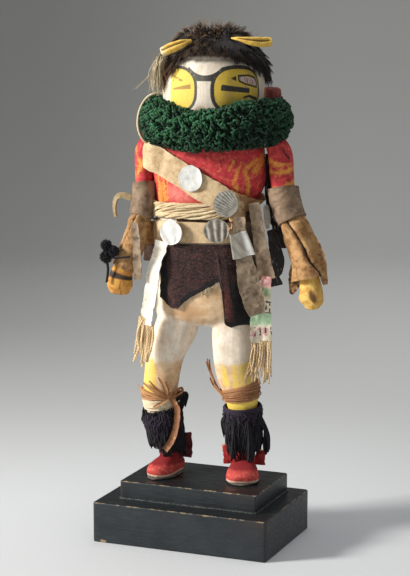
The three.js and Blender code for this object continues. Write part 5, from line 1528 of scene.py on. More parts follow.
def make_discs():
    """Hammered plates: rings from the middle of the back over a cut rim to the middle of the front."""
    plate = tin("tin_plate", (252, 252, 249), (182, 174, 160))
    for k, (node, (x, z, hw, hh, reach, ribs, rib_height, cuts, dull)) in enumerate(DISCS.items()):
        middle, across, outward = trunk_front(x, z, reach)
        up = np.cross(outward, across) * -1
        up = up if up[2] > 0 else -up
        angle = turns(120)
        wedge = np.pi / cuts
        cut = 0.94 + 0.06 * np.cos(wedge) / np.cos((angle + 0.3) % (2 * wedge) - wedge)
        cut = cut * (1 + 0.025 * noise(xyz(angle * 3, 0, k), 1.1, k))
        if node == "tin_disc_belt_right":
            # narrower above: the top of this one is pinched
            cut = cut * (1 - 0.42 * np.exp(-(((angle - np.pi / 2) / 0.85) ** 2)) * np.abs(np.cos(angle)))
        shares = np.concatenate([np.linspace(0.05, 1, 16), np.linspace(1, 0.02, 34)])
        front = np.concatenate([np.zeros(16), np.ones(34)])
        u = shares[:, None] * np.cos(angle) * cut * hw
        v = shares[:, None] * np.sin(angle) * cut * hh
        count, slant, fan = ribs
        run = (u * math.cos(slant) + v * math.sin(slant)) / hw
        away = (v * math.cos(slant) - u * math.sin(slant)) / hh
        phase = run / (1 + fan * away) * count * np.pi / 2 * 1.6
        rib = np.cos(phase) * (1 - step(0.86, 1.0, shares[:, None]))
        dish = -0.9 * (1 - shares[:, None] ** 2) * 0.35 + 0.3 * noise(xyz(u, v, 0), 4.5, k)
        dish = dish + rib_height * rib
        thick = 0.7 * (front[:, None] - 0.5)
        points = middle + u[..., None] * across + v[..., None] * up + (dish + thick)[..., None] * outward
        # painted shade in the troughs between the ribs, on the greyer discs
        low = np.clip(-rib * step(0.12, 0.3, rib_height), 0, 1) * step(0.2, 0.5, dull + 0.3)
        shape = Shape().tube(points, size=(60, 20), dull=dull, low=low)
        finish_piece(shape.build(node.replace("disc", "plate"), sharp=60), plate, "tin", node)


# ------------------------------------------------------------------------------------------- the kilt

# x of the cut front edge and hem, and z of the hem there.
KILT_HEM = np.array([
    [-40, 151], [-33, 151], [-29, 146.5], [-24, 143.6], [-19, 143], [-14, 148.5], [-9, 152.5], [-3, 156],
    [5, 160.5], [11, 163.5], [14.8, 166], [15.6, 160], [16.4, 146], [17.2, 133], [20, 129.5],
    [28, 126], [35, 122], [42, 120.5], [48, 123],
])


KILT_TOP = 195.2
LEFT_SIDE = math.radians(-4)  # where the front of the cloth turns to the back


def kilt_wool():
    """Coarse dark wool with reddish flecks; black borders along the front edge and the hem."""
    made, g, shader = new_material("kilt_wool", roughness=0.96)
    weave = g.weave(1.15, warp=1.2)
    place = g.where()
    fleck = g.noise(place, 1.1, detail=5, rough=0.7)
    cloud = g.noise(place, 8, detail=4)
    color = g.blend(g.span(cloud, 0.36, 0.64), rgb(50, 35, 34), rgb(27, 20, 21))
    light = g.noise(g.where((1, 1, 1.7)), 1.5, detail=4, rough=0.75)
    color = g.coat(color, g.span(light, 0.53, 0.64), 0.7, rgb(112, 80, 74))
    color = g.coat(color, g.span(light, 0.46, 0.38), 0.6, rgb(30, 22, 24))
    streak = g.noise(g.where((0.45, 0.45, 1.6)), 1.7, detail=5, rough=0.7)
    red = g.times(g.span(streak, 0.5, 0.62), 0.75)
    color = g.blend(red, color, rgb(92, 46, 42))
    color = g.coat(color, g.span(streak, 0.46, 0.36), 0.7, rgb(24, 17, 18))
    rust = g.times(g.value("rust"), g.span(fleck, 0.4, 0.6))
    color = g.blend(rust, color, rgb(120, 58, 44))
    border = g.plus(g.value("border"), g.times(g.minus(fleck, 0.5), 1.3))
    dark = g.blend(g.span(light, 0.5, 0.7), rgb(18, 16, 19), rgb(46, 38, 40))
    color = g.blend(g.span(border, 0.3, 0.7), color, dark)
    color = g.blend(g.value("pale"), color, rgb(206, 184, 150))
    height = g.plus(g.times(weave, 0.8), g.times(fleck, 0.9))
    join_up(g, shader, color, normal=g.bump(height, 0.75, 0.5))
    return made


def make_kilt():
    """A cloth from its front edge at the right thigh, round the left hip, to the back.

    Columns are even shares of the way round, rows even shares from the belt to the hem. It stands
    off the hips by a flare that grows below them, plus folds that deepen toward the hem."""
    start, end = math.radians(-137), math.radians(133)
    rows, cols = 44, 300
    angle = np.linspace(start, end, cols)
    for _ in range(3):
        ring = on_trunk(angle, 165.0, 1.5)
        run = np.append(0, np.cumsum(np.linalg.norm(np.diff(ring, axis=0), axis=1)))
        angle = np.interp(np.linspace(0, run[-1], cols), run, angle)
    front = angle < LEFT_SIDE
    hem_front = np.interp(ring[:, 0], KILT_HEM[:, 0], KILT_HEM[:, 1])
    hem_back = 134 - 8 * (1 - step(LEFT_SIDE, math.radians(60), angle))
    hem = np.where(front, hem_front, hem_back) + 0.8 * noise(xyz(run, 0, 0), 2.4, 8)
    v = shares(rows)[:, None]
    z = KILT_TOP + (hem - KILT_TOP) * v
    pose = xyz(run, z, 0)
    fold = np.sin(run / 8.5 + 0.8 * np.sin(run / 23)) * 0.55 + 0.9 * noise(pose * (1, 0.35, 1), 11, 3)
    pucker = 0.5 * noise(pose * (0.5, 1, 1), 4, 13) + 0.3 * noise(pose, 2.0, 15)
    flare = 1.1 + 0.09 * np.maximum(0, 152 - z)
    reach = flare + fold * (0.35 + 0.7 * step(0.1, 1, v)) + pucker
    panel = step(14.6, 15.8, ring[:, 0]) * front
    reach = reach + 1.1 * panel * step(0.0, 0.4, v)
    reach = np.maximum(reach, 0.45)
    outer = on_trunk(angle, z, reach + 1.3)
    inner = on_trunk(angle, z, reach)
    wide = 4.2 + 0.8 * np.sin(run / 3)
    hem_border = (1 - step(wide - 1.4, wide + 1.4, z - hem)) * step(-20, -15, ring[:, 0])
    border = np.maximum(1 - step(6.5, 9.0, run), hem_border)
    inner_panel = panel * step(19, 25, ring[:, 0] - 0.12 * (150 - z))
    border = np.maximum(border, 0.8 * inner_panel * step(172, 160, z))
    rust = panel * (1 - step(19, 24, ring[:, 0])) * 0.8 * step(168, 150, z)
    shape = Shape().slab(outer, inner, size=(run[-1], 52.0), border=border, rust=rust)
    # frayed pale threads where the hem is cut up
    rng, count = np.random.default_rng(17), 46
    at = rng.uniform(0, 15.5, count)
    col = np.argmin(np.abs(ring[:, 0][None, :] - at[:, None]) + 1e3 * ~front[None, :], axis=1)
    root = outer[-1][col] + (0, 0.4, 0.6)
    s = shares(5)[None, :, None]
    fall = xyz(rng.normal(0.4, 1.2, count), rng.normal(-0.3, 0.4, count), -rng.uniform(2, 5.5, count))
    bow = rng.normal(size=(count, 1, 3)) * s * (1 - s) * 1.6
    shape.strands(root[:, None] + fall[:, None] * s + bow, np.full((count, 5), 0.24), 4, pale=0.9)
    kilt = finish_piece(shape.build("kilt_cloth", sharp=70), kilt_wool(), "dark_wool", "kilt")


# ----------------------------------------------------------------------- sashes and hanging strips


def strap_grids(stations, facing, thick, rows=60, cols=14, wave=0.5, cup=0.0, seed=1, edge=0.3):
    """Outer and inner grids of a strap through stations (x, y, z, half width).

    Across it runs c from -1 to 1; it cups by `cup` times c squared, waves and has ragged edges."""
    t, c = shares(rows)[:, None], np.linspace(-1, 1, cols)[None, :]
    now = along(stations, t[:, 0])
    side, front = frames(now[:, :3], facing)
    run = np.append(0, np.cumsum(np.linalg.norm(np.diff(now[:, :3], axis=0), axis=1)))
    ragged = edge * noise(xyz(run, 0, seed), 2.2, seed)[:, None]
    half = now[:, 3:4] + ragged * np.abs(c) ** 3
    pose = xyz(run[:, None], c * now[:, 3:4], seed * 5.0)
    lift = wave * noise(pose, 7, seed) + 0.35 * wave * noise(pose, 2.5, seed + 1) + cup * c**2
    middle = now[:, None, :3] + side[:, None] * (c * half)[..., None] + front[:, None] * lift[..., None]
    return (middle + front[:, None] * thick / 2, middle - front[:, None] * thick / 2,
            (now[:, 3].mean() * 2, run[-1]))


def strap(name, stations, facing, material, slot, node, thick=STRIP, values={}, **ways):
    """One strap as a piece of its own."""
    outer, inner, size = strap_grids(stations, facing, thick, **ways)
    shape = Shape().slab(outer, inner, size=size, **values)
    return finish_piece(shape.build(name, sharp=50), material, slot, node)


def twisted_fringe(shape, rng, left, right, length, drift, count, thick, fan=5.0, **values):
    """Twisted pairs of threads hanging from a line between two points, spreading by `fan` mm. Each
    thread winds round its pair's middle line by 1.2 radians a millimetre."""
    f = shares(count) + rng.normal(size=count) * 0.02
    root = np.asarray(left) + (np.asarray(right) - left) * f[:, None]
    s = shares(16)[None, :, None]
    long = length * rng.uniform(0.78, 1.05, count)[:, None, None]
    fall = np.array([0, 0, -1.0]) * long * s + np.asarray(drift) * s**1.4
    fall = fall + (f[:, None, None] - 0.5) * np.array([fan, 0, 0]) * s
    sway = rng.normal(size=(count, 1, 3)) * (1.5, 0.9, 0.2) * np.sin(s * np.pi * 1.3)
    middle = root[:, None] + fall + sway
    wind = s[..., 0] * long[..., 0] * 1.2 + rng.uniform(0, 6, (count, 1))
    off = xyz(np.cos(wind), np.sin(wind), 0) * thick * 0.75
    radii = thick * (1 - 0.35 * s[..., 0]) * np.ones((count, 1))
    tone = rng.uniform(0.2, 1, count)
    shape.strands(middle + off, radii, 5, strand=tone, **values)
    shape.strands(middle - off, radii, 5, strand=tone * 0.8, **values)


RIGHT_SASH = [
    [-32.2, -20.4, 196.6, 5.0], [-33.6, -22, 190, 5.4], [-36, -23.6, 182, 5.2], [-38.8, -24.6, 171, 5.8],
    [-41.4, -25.4, 151, 5.6], [-43.2, -25.6, 140, 5.4], [-44.6, -25.6, 129, 5.2],
]
LEFT_SASH = [
    [33, -34, 220, 4.6], [33.2, -34.2, 206.8, 5], [34.4, -33.8, 196, 5.6], [36.5, -32.6, 187, 6.4],
    [38.6, -31.4, 176, 7.9], [40.3, -30.2, 166, 9], [42.4, -28.4, 157, 8.6], [44.3, -26.8, 148, 7.8],
    [46, -25, 141, 6.2],
]


def make_sashes(grey):
    """The white hide sash with its twisted fringe, and the grey one that carries the cloth end."""
    rng = np.random.default_rng(8)
    white = suede("white_hide", (250, 245, 234), (232, 222, 204), (186, 164, 134), 0.25, (222, 192, 146))
    rows = 70
    outer, inner, size = strap_grids(RIGHT_SASH, (-0.3, -1, 0), 1.2, rows=rows, cols=16, wave=1.3,
                                     cup=0.9, seed=3, edge=0.7)
    low = shares(rows)[:, None]
    shape = Shape().slab(outer, inner, size=size, stain=0.25 * step(0.75, 1, low), strand=0.8)
    twisted_fringe(shape, rng, (-49.4, -25.4, 136), (-40.4, -26.2, 131), 38, (-3.5, -1, 0), 13, 0.85,
                   fan=3.0, stain=0.75)
    finish_piece(shape.build("sash_right_hide", sharp=60), white, "white_hide", "sash_right")
    strap("sash_left_suede", LEFT_SASH, (0.25, -1, 0), grey, "grey_hide",
                                "sash_left", thick=1.3, rows=80, cols=20, wave=1.1, cup=0.5, seed=6,
                                edge=0.5)


def printed_cloth():
    """White cotton printed with bars: black and white, pale green, then black, white and pink."""
    made, g, shader = new_material("printed_cotton", roughness=0.9)
    run = g.value("down")
    across = g.value("across")
    place = g.where()
    fine = g.noise(place, 0.7, detail=4)
    ground = g.blend(g.span(g.noise(place, 6, detail=4), 0.4, 0.62), rgb(232, 222, 200),
                     rgb(206, 194, 168))
    shaken = g.plus(run, g.times(g.minus(g.noise(place, 2, 3), 0.5), 2.2))

    soft = 0.25

    def bar(low, high):
        return g.times(g.span(shaken, low - soft, low + soft),
                       g.span(shaken, high - soft, high + soft, 1.0, 0.0))

    def cells(count, shift, share):
        beat = g.math("FRACT", g.plus(g.times(across, count), shift))
        return g.span(g.math("ABSOLUTE", g.minus(beat, 0.5)), share - 0.06, share + 0.06, 1.0, 0.0)

    color = g.blend(bar(31.5, 40.5), ground, rgb(178, 206, 170))
    patches = g.span(g.noise(place, 3.0, detail=3), 0.5, 0.6)
    color = g.coat(color, bar(42.5, 49.5), patches, rgb(226, 160, 164))
    ink = g.times(bar(23.0, 30.5), cells(5.0, 0.1, 0.2))
    ink = g.math("MAXIMUM", ink, bar(22.0, 23.2))
    ink = g.math("MAXIMUM", ink, bar(30.2, 31.2))
    broken = g.span(g.noise(place, 2.4, detail=3), 0.42, 0.5)
    lower = g.times(bar(42.0, 49.0), cells(4.0, 0.35, 0.14))
    ink = g.times(g.math("MAXIMUM", ink, lower), broken)
    color = g.coat(color, ink, g.span(fine, 0.36, 0.5, 0.72, 1.0), rgb(34, 32, 36))
    pink = g.times(g.value("pinkish"), g.span(fine, 0.3, 0.55))
    color = g.blend(pink, color, rgb(226, 138, 146))
    color = g.blend(g.value("greenish"), color, rgb(132, 160, 112))
    join_up(g, shader, color, normal=g.bump(g.plus(g.weave(0.7), fine), 0.4, 0.25))
    return made


def make_sash_end():
    """The printed cloth at the end of the left sash, with its fringe, as a hanging sheet."""
    rng = np.random.default_rng(12)
    stations = np.array([[52.5, -20, 171, 3.6], [51.6, -20.4, 163, 4.4], [50.5, -21, 156, 5.6],
                         [49.2, -21.6, 146, 7.4], [48.4, -22, 137, 8.4], [48.6, -22, 127, 8.5],
                         [48.9, -22, 117.4, 8.4]])
    rows, cols = 90, 26
    outer, inner, size = strap_grids(stations, (0.25, -1, 0), 0.9, rows=rows, cols=cols, wave=0.9,
                                     cup=0.5, seed=9)
    down, across = np.linspace(0, size[1], rows)[:, None], shares(cols)[None, :]
    pinkish = (1 - step(7, 12, down)) * 0.9
    greenish = step(9, 12, down) * (1 - step(17, 20, down)) * 0.8
    shape = Shape().slab(outer, inner, size=size, down=down, across=across, pinkish=pinkish,
                         greenish=greenish)
    cloth = finish_piece(shape.build("sash_end_cloth", sharp=60), printed_cloth(), "printed_cloth",
                         "sash_left_end")
    fringe = Shape()
    twisted_fringe(fringe, rng, (41.4, -22.4, 119), (56.6, -21.4, 119), 34, (-2.5, 0, 0), 26, 0.62)
    thread = plain_yarn("cotton_fringe", (236, 212, 170), (160, 126, 86), 1.2)
    fringe = finish_piece(fringe.build("sash_end_fringe"), thread, "printed_cloth")


CLIP_PLACE = (34.3, -33.6, 198)


def make_clip():
    """A strip of tin bent into a flat loop, its front dented."""
    half_width, half_depth, wall = 8.0, 2.6, 0.8
    outline = rounded_outline(half_width, half_depth, 1.2, per_side=20, per_corner=5)
    inside = rounded_outline(half_width - wall, half_depth - wall, 0.6, per_side=20, per_corner=5)
    height = np.linspace(-10, 10, 30)[:, None, None] * np.array([0, 0, 1.0])
    outer = np.concatenate([outline, np.zeros((len(outline), 1))], 1)[None] + height
    inner = np.concatenate([inside, np.zeros((len(inside), 1))], 1)[None] + height
    for grid in (outer, inner):
        dent = noise(grid * (1, 0.2, 1), 5, 4) * 0.45 * (grid[..., 1] < 0)
        grid[..., 1] += dent
        grid[..., 2] += 0.4 * np.sin(grid[..., 0] * 0.5) * np.abs(grid[..., 2]) / 10
    lean, turn = math.radians(-15), math.radians(11)

    def settle(p):
        wide = p[..., 0] * (1 - 0.014 * p[..., 2])
        x = wide * math.cos(lean) + p[..., 2] * math.sin(lean)
        z = -wide * math.sin(lean) + p[..., 2] * math.cos(lean)
        y = p[..., 1]
        across, deep = x * math.cos(turn) - y * math.sin(turn), x * math.sin(turn) + y * math.cos(turn)
        return xyz(across, deep, z) + CLIP_PLACE

    made = tin("tin_clip_plate", (250, 250, 246), (150, 142, 128))
    # painted highlight: the loop's right part is bright; painted shade: the slanting bands across the rest
    # are darker
    bright = step(1.5, 5.5, outer[..., 0])
    crease = np.cos(outer[..., 0] * 0.9 + outer[..., 2] * 0.5) * (1 - bright)
    shape = Shape().slab(settle(outer), settle(inner), around=True, dull=0.85 * (1 - bright),
                         low=np.clip(crease, 0, 1))
    finish_piece(shape.build("tin_clip_loop", sharp=55), made, "tin", "tin_clip")


def black_ribbon():
    """Black cloth ribbon with white streaks along its folds, painted as glints of light."""
    made, g, shader = new_material("black_ribbon", roughness=0.7)
    streak = g.noise(g.uv((1, 0.12, 1)), 1.1, detail=4)
    fine = g.noise(g.where(), 0.8, detail=3)
    color = g.blend(fine, rgb(22, 20, 24), rgb(40, 38, 42))
    # painted highlight: white streaks along the folds stand for glints
    color = g.coat(color, g.span(streak, 0.6, 0.66), g.value("worn"), rgb(204, 202, 204))
    join_up(g, shader, color, normal=g.bump(g.plus(streak, fine), 0.4, 0.3))
    return made


# Node and what it is of: stations (x, y, z, half width), facing, leather and how it hangs.
STRIPS = {
    "strip_grey_left_suede": (
        [[42.2, -22, 230, 4.4], [44.4, -20, 216, 4.8], [46.3, -18.6, 201, 5], [48.8, -17, 187, 5.6],
         [51.6, -15.4, 168, 7.0]],
        (0.2, -1, 0), "grey", {"wave": 0.9, "cup": 0.6, "seed": 21, "edge": 0.5}),
    "strip_brown_left_suede": (
        [[40, -13, 226, 5.4], [40.6, -13, 212, 6.0], [41.4, -12.8, 198, 6.0], [41.8, -12.2, 184, 5.6],
         [43.6, -11.4, 170, 3.6]],
        (0.2, -1, 0), "dark", {"wave": 0.6, "seed": 22}),
    "strip_pale_left_hide": (
        [[48.5, -3, 226, 1.6], [49.5, -3.2, 217, 2.7], [50, -3, 207, 1.5]],
        (0.3, -1, 0), "pale", {"wave": 0.5, "seed": 23}),
    # the top of this ribbon runs up into the armpit as a dark sheet in place of the shade between the arm and
    # the trunk
    "ribbon_black_left_cloth": (
        [[48.2, 7.6, 266, 2.6], [48.4, 7, 252, 3.2], [49.6, 6, 238, 4.2], [52, 5, 227, 5.4],
         [54, 5, 218, 5.8], [57, 4.6, 211, 5.6], [60, 4, 204, 5.0], [63.5, 3, 191, 2.6]],
        (0.5, -1, 0), "ribbon",
        {"rows": 70, "cols": 18, "wave": 1.6, "cup": 1.0, "seed": 24, "values": {"worn": 0.9}}),
    "strip_olive_left_suede": (
        [[56, 12, 222, 3], [56.8, 12, 212, 4.6], [57, 12, 205, 5.8], [57.7, 12, 189, 6.5]],
        (0.1, -1, 0), "olive", {"wave": 0.6, "seed": 25}),
    "ribbon_curved_left_cloth": (
        [[52, -4, 206, 2.2], [54.2, -4, 198, 3.8], [57, -4, 189, 5.2], [58.6, -4, 180, 5.6],
         [58.0, -4, 173, 4.6], [56.8, -4, 168, 3.4], [58.2, -4, 161, 5.2]],
        (0.5, -1, 0), "ribbon",
        {"rows": 70, "cols": 18, "wave": 1.0, "seed": 26, "values": {"worn": 0.45}}),
    "strip_grey_right_suede": (
        [[-53.5, -26.4, 212, 3.0], [-52.2, -27.2, 200, 3.4], [-51.5, -27.6, 188, 3.5],
         [-51.2, -27.6, 177, 3.4], [-51.3, -27.4, 166, 3.0]],
        (-0.2, -1, 0), "grey", {"wave": 0.8, "cup": 0.4, "seed": 27, "edge": 0.5}),
    "strip_ochre_right_leather": (
        [[-48.2, 0, 210, 4.7], [-48.6, 1, 201, 5.1], [-48.4, 1, 191, 4.4]],
        (-0.3, -1, 0), "ochre", {"wave": 0.7, "seed": 28}),
    "strip_dark_right_suede": (
        [[-49.7, 6, 204, 3.6], [-50, 6, 190, 4.2], [-50.7, 6, 176, 4.0]],
        (-0.1, -1, 0), "dark", {"wave": 0.6, "seed": 29}),
}


def make_strips(grey):
    """The narrow straps that hang from the belt, each named for its node and what it is made of."""
    made_of = {
        "ribbon": (black_ribbon(), "black_ribbon"),
        "dark": (suede("dark_suede", (84, 58, 42), (54, 38, 30), (26, 20, 18), 0.6), "dark_hide"),
        "olive": (suede("olive_suede", (112, 100, 68), (80, 70, 50), (40, 34, 26), 0.4), "dark_hide"),
        "pale": (suede("pale_suede", (232, 226, 214), (200, 190, 174), (150, 130, 104), 0.3),
                 "white_hide"),
        "ochre": (suede("ochre_leather", (206, 152, 78), (168, 114, 52), (96, 60, 30), 0.5),
                  "ochre_hide"),
        "grey": (grey, "grey_hide"),
    }
    for name, (stations, facing, leather, ways) in STRIPS.items():
        strap(name, stations, facing, *made_of[leather], name.rpartition("_")[0], **ways)


# --------------------------------------------------------------------------------- dress of the arms


SLEEVE_LINING = 0.5  # how far a sleeve's inner wall stands off the limb


def sleeve(stations, start, end, reach, *, rows=50, cols=60, wave=0.5, seed=1, seam=None, seam_gap=0.0,
           **values):
    """A band round a limb between two shares of its length, standing off by reach(f).

    f runs from 0 to 1 down the band. Its edges are ragged and it waves; a seam sinks by `seam_gap`
    in a line that runs between the two angles of `seam`, and is painted dark along the groove as shade."""
    angle = turns(cols)[None, :]
    f = shares(rows)[:, None]
    around = xyz(np.cos(angle) * 9, np.sin(angle) * 9, 0)
    shift = noise(around, 5, seed) * 0.004
    t = start + (end - start) * f + shift * (f - 0.5) * 2
    pose = xyz(np.cos(angle) * 9, np.sin(angle) * 9, f * 40)
    off = reach(f) + wave * noise(pose, 7, seed + 1) + 0.4 * wave * noise(pose, 2.6, seed + 2)
    if seam is not None:
        at = seam[0] + (seam[1] - seam[0]) * f + 0.12 * noise(xyz(f * 30, 0, 0), 6, seed)
        gap = np.abs((angle - at + np.pi) % (2 * np.pi) - np.pi)
        off = off - seam_gap * np.exp(-((gap / 0.12) ** 2)) + 0.5 * np.exp(-(((gap - 0.3) / 0.2) ** 2))
        # painted shade: a dark line along the seam's groove
        values["stain"] = np.exp(-((gap / 0.09) ** 2))
    off = np.maximum(off, SLEEVE_LINING + 0.4)
    inner = on_limb(stations, t, angle, SLEEVE_LINING)
    return Shape().slab(on_limb(stations, t, angle, off), inner, around=True, **values)


# The start and end shares of each arm's wraps, how they stand off, and how they are made.
CUFFS = {
    "right": (RIGHT_ARM, 0.28, 0.435, lambda f: 2.6 + 0.6 * f,
              {"wave": 0.7, "seed": 41, "seam": (-1.2, -1.5), "seam_gap": 1.2}),
    "left": (LEFT_ARM, 0.3, 0.445, lambda f: 3.3 + 1.3 * f,
             {"wave": 0.8, "seed": 43, "seam": (-1.0, -1.4), "seam_gap": 1.0}),
}
FOREARM_WRAPS = {
    "right": (RIGHT_ARM, 0.415, 0.69, lambda f: 1.0 + 1.4 * step(0.05, 0.2, f) + 1.2 * np.sin(f * 3),
              {"wave": 0.8, "seed": 45, "seam": (1.9, 2.7), "seam_gap": 1.5, "rows": 70}),
    "left": (LEFT_ARM, 0.42, 0.705,
             lambda f: 1.2 + 1.6 * step(0.05, 0.2, f) + 3.4 * f + 0.5 * np.sin(f * 7),
             {"wave": 0.9, "seed": 47, "seam": (1.9, 0.55), "seam_gap": 1.8, "rows": 80}),
}
# Flaps of the left wrap: stations, facing, seed, thickness and stain.
WRAP_FLAPS = [
    ([[81, -3.6, 188, 4], [77, -3.4, 176, 8.2], [72.5, -4, 163, 5], [70, -4, 154.5, 1.4]],
     (0.1, -1, 0.1), 51, 1.2, 0.5),
    ([[86.5, -16, 206, 3], [94.5, -18.4, 188, 4.2], [99.5, -19, 166, 2.2]], (0.3, -1, 0), 52, 1.6, 0.0),
]
RAWHIDE_CURL = [
    [-60.2, -9, 229.6, 2.5], [-63.4, -9, 230.6, 2.5], [-67, -9, 231.4, 2.4], [-70.6, -9, 231.2, 2.2],
    [-73.4, -9, 229, 1.9], [-74.8, -9, 224.6, 1.6], [-74.8, -9, 219, 1.3], [-73.8, -9, 213.8, 1.0],
]


def make_arm_dress():
    """Cuffs above the elbows, long wraps on the forearms, and a curl of rawhide on the right one."""
    cuff_hide = suede("cuff_suede", (148, 124, 100), (114, 92, 72), (62, 46, 36), 0.5, (46, 34, 28))
    sleeve_hide = suede("sleeve_suede", (196, 154, 102), (148, 104, 60), (84, 56, 34), 0.8, (48, 32, 24))
    for side, (arm, start, end, reach, ways) in CUFFS.items():
        cuff = sleeve(arm, start, end, reach, **ways)
        finish_piece(cuff.build(f"cuff_{side}_suede", sharp=50), cuff_hide, "grey_hide", f"cuff_{side}")
    for side, (arm, start, end, reach, ways) in FOREARM_WRAPS.items():
        wrap = sleeve(arm, start, end, reach, **ways)
        for stations, facing, seed, thick, stain in WRAP_FLAPS if side == "left" else ():
            outer, inner, size = strap_grids(stations, facing, thick, rows=50, cols=16, wave=0.8,
                                             cup=0.8, seed=seed, edge=0.5)
            wrap.slab(outer, inner, size=size, stain=stain)
        node = f"forearm_wrap_{side}"
        finish_piece(wrap.build(node + "_suede", sharp=50), sleeve_hide, "tan_leather", node)
    rawhide = suede("rawhide", (176, 156, 118), (132, 110, 76), (80, 62, 42), 0.4, (66, 52, 38))
    strap("rawhide_curl_strip", RAWHIDE_CURL, (-0.4, -1, 0), rawhide, "ochre_hide", "rawhide_curl",
          thick=1.9, rows=80, cols=10, wave=0.3, seed=53, edge=0.2)


def dark_yarn():
    made, g, shader = new_material("dark_yarn", roughness=0.95)
    wool = g.use(YARN, Light=rgb(46, 41, 52), Dark=rgb(9, 9, 12), Ply_mm=1.5)
    # painted sheen: strands at the top of the wraps go to a lighter purple
    purple = g.times(g.value("purple"), 0.7)
    color = g.blend(purple, wool["Color"], g.blend(g.value("strand"), rgb(30, 22, 36), rgb(76, 60, 84)))
    join_up(g, shader, color, normal=g.bump(wool["Height"], 0.6, 0.3))
    return made


def make_pompons(yarn):
    """Three balls of cut yarn, each bristling with short ends, and their tie with a short tail."""
    rng = np.random.default_rng(23)
    shape = Shape()
    for x, y, z, radius in ((-77, -28, 193, 4.4), (-77, -28, 183.6, 5), (-70.8, -29, 188.6, 4.4)):
        shape.tube(ball(12, 18, 1.5) * radius * 0.72 + (x, y, z), strand=0.1)
        count = 230
        out = unit(rng.normal(size=(count, 3)))
        curl = unit(np.cross(out, rng.normal(size=(count, 3))))
        s = np.linspace(0.55, 1.1, 5)[None, :, None]
        paths = np.array([x, y, z]) + out[:, None] * radius * s * rng.uniform(0.85, 1.08, (count, 1, 1))
        paths = paths + curl[:, None] * ((s - 0.55) ** 2) * rng.uniform(1, 5, (count, 1, 1))
        shape.strands(paths, np.array([0.42, 0.5, 0.5, 0.44, 0.2]) * np.ones((count, 1)), 4,
                      strand=rng.uniform(0, 0.75, count))
    for points in ([[-74, -28, 185], [-70, -30.5, 183.4], [-66, -31, 183.6], [-57, -30, 184.6]],
                   [[-76.5, -28, 180], [-75.6, -28.4, 174], [-76.2, -28, 168], [-76.9, -28, 163]]):
        for turn in (0, 2.1, 4.2):
            s = shares(24)
            wind = s * 16 + turn
            line = along(points, s) + 0.55 * xyz(np.cos(wind), np.sin(wind), np.cos(wind) * 0.5)
            shape.strands(line[None], np.full((1, 24), 0.62), 6, strand=0.4)
    finish_piece(shape.build("yarn_pompons_tied"), yarn, "navy_yarn", "yarn_pompons")


# ---------------------------------------------------------------------------------- dress of the legs


def wound_cords(shape, stations, start, end, count, reach, radius, rng, **values):
    """A band of `count` cords wound round a leg, each slightly out of line."""
    angle = turns(96)
    for k in range(count):
        t = start + (end - start) * (k + 0.5) / count
        wave = 0.25 * (end - start) / count
        t = t + wave * np.sin(angle + rng.uniform(0, 6)) + wave * np.sin(2 * angle + rng.uniform(0, 6))
        off = reach + rng.uniform(-0.15, 0.35) + 0.25 * np.sin(angle * 2 + rng.uniform(0, 6))
        closed_cord(shape, on_limb(stations, t, angle, off), radius, 7, **values)


def hanging_yarn(shape, leg, rng, count, top, low, reach, long, angles=(0, 360), purple=0.0):
    """Lengths of yarn laid on a leg: out from the band, over, and down past the ankle."""
    t0 = rng.uniform(*top, count)
    t1 = np.minimum(t0 + long * rng.uniform(0.55, 1.1, count), low)
    angle0 = rng.uniform(*angles, count)
    angle1 = angle0 + rng.normal(size=count) * 12
    s = shares(9)[None, :]
    off = reach + rng.uniform(-0.6, 1.2, count)[:, None] + 1.5 * np.sin(s * np.pi * 0.8)
    share, degrees = t0[:, None] + (t1 - t0)[:, None] * s, angle0[:, None] + (angle1 - angle0)[:, None] * s
    paths = on_limb(leg, share, np.radians(degrees), off)
    paths = paths + rng.normal(size=(count, 1, 3)) * 0.5 * np.sin(s * 7 + angle0[:, None])[..., None]
    paths = paths + rng.normal(size=paths.shape) * 0.14
    radii = rng.uniform(0.42, 0.72, (count, 1)) * np.array([0.8, 1, 1, 1, 1, 1, 1, 0.95, 0.7])
    shape.strands(paths, radii, 4, strand=rng.uniform(0, 0.8, count), purple=purple)


def hank(shape, leg, rng, points, count, loose):
    """A bunch of yarn through [share, degrees, reach] points, its lengths spread by `loose` mm."""
    s = shares(12)
    spread = rng.normal(size=(count, 1, 3)) * loose
    bend = rng.normal(size=(count, 1, 3)) * loose * 0.6 * np.sin(s * 5 + 1)[None, :, None]
    paths = on_leg(leg, along(points, s))[None] + spread * (0.5 + s[None, :, None] * 0.9) + bend
    radii = rng.uniform(0.55, 0.85, (count, 1)) * np.append(np.ones(11), 0.6)
    shape.strands(paths, radii, 5, strand=rng.uniform(0, 0.8, count), purple=0.0)


# Hanging yarn as count, the shares where it starts, the lowest share, reach, length as a share and
# how much lighter purple it is painted, as a sheen, and hanks as their [share, degrees, reach] points,
# count and looseness.
LEG_YARN = {
    "right": (
        [(330, (0.64, 0.72), 0.86, 3.0, 0.16), (110, (0.66, 0.7), 0.8, 3.9, 0.09, (60, 190), 0.7),
         (180, (0.74, 0.8), 0.92, 2.8, 0.12, (-20, 110))],
        [([[0.68, 150, 3.2], [0.76, 150, 4.6], [0.84, 150, 4.8]], 14, 0.9),
         ([[0.66, 20, 3.5], [0.8, 24, 5.2], [0.92, 20, 5]], 22, 1.0),
         ([[0.6, 16, 3.0], [0.545, 8, 5.4], [0.57, -4, 7.6], [0.66, 4, 6.4]], 20, 0.8)],
    ),
    "left": (
        [(200, (0.65, 0.68), 0.76, 2.6, 0.07, (0, 360), 0.9), (300, (0.69, 0.76), 0.89, 3.4, 0.14)],
        [([[0.7, 150, 4], [0.735, 165, 6.6], [0.79, 160, 5.5]], 12, 0.9),
         ([[0.7, 110, 4], [0.8, 110, 7], [0.895, 115, 7.5]], 16, 1.1),
         ([[0.7, 65, 4], [0.8, 60, 7.4], [0.895, 60, 7.4]], 16, 1.1),
         ([[0.69, 15, 4], [0.78, 5, 10], [0.87, 0, 10.5]], 14, 1.1)],
    ),
}


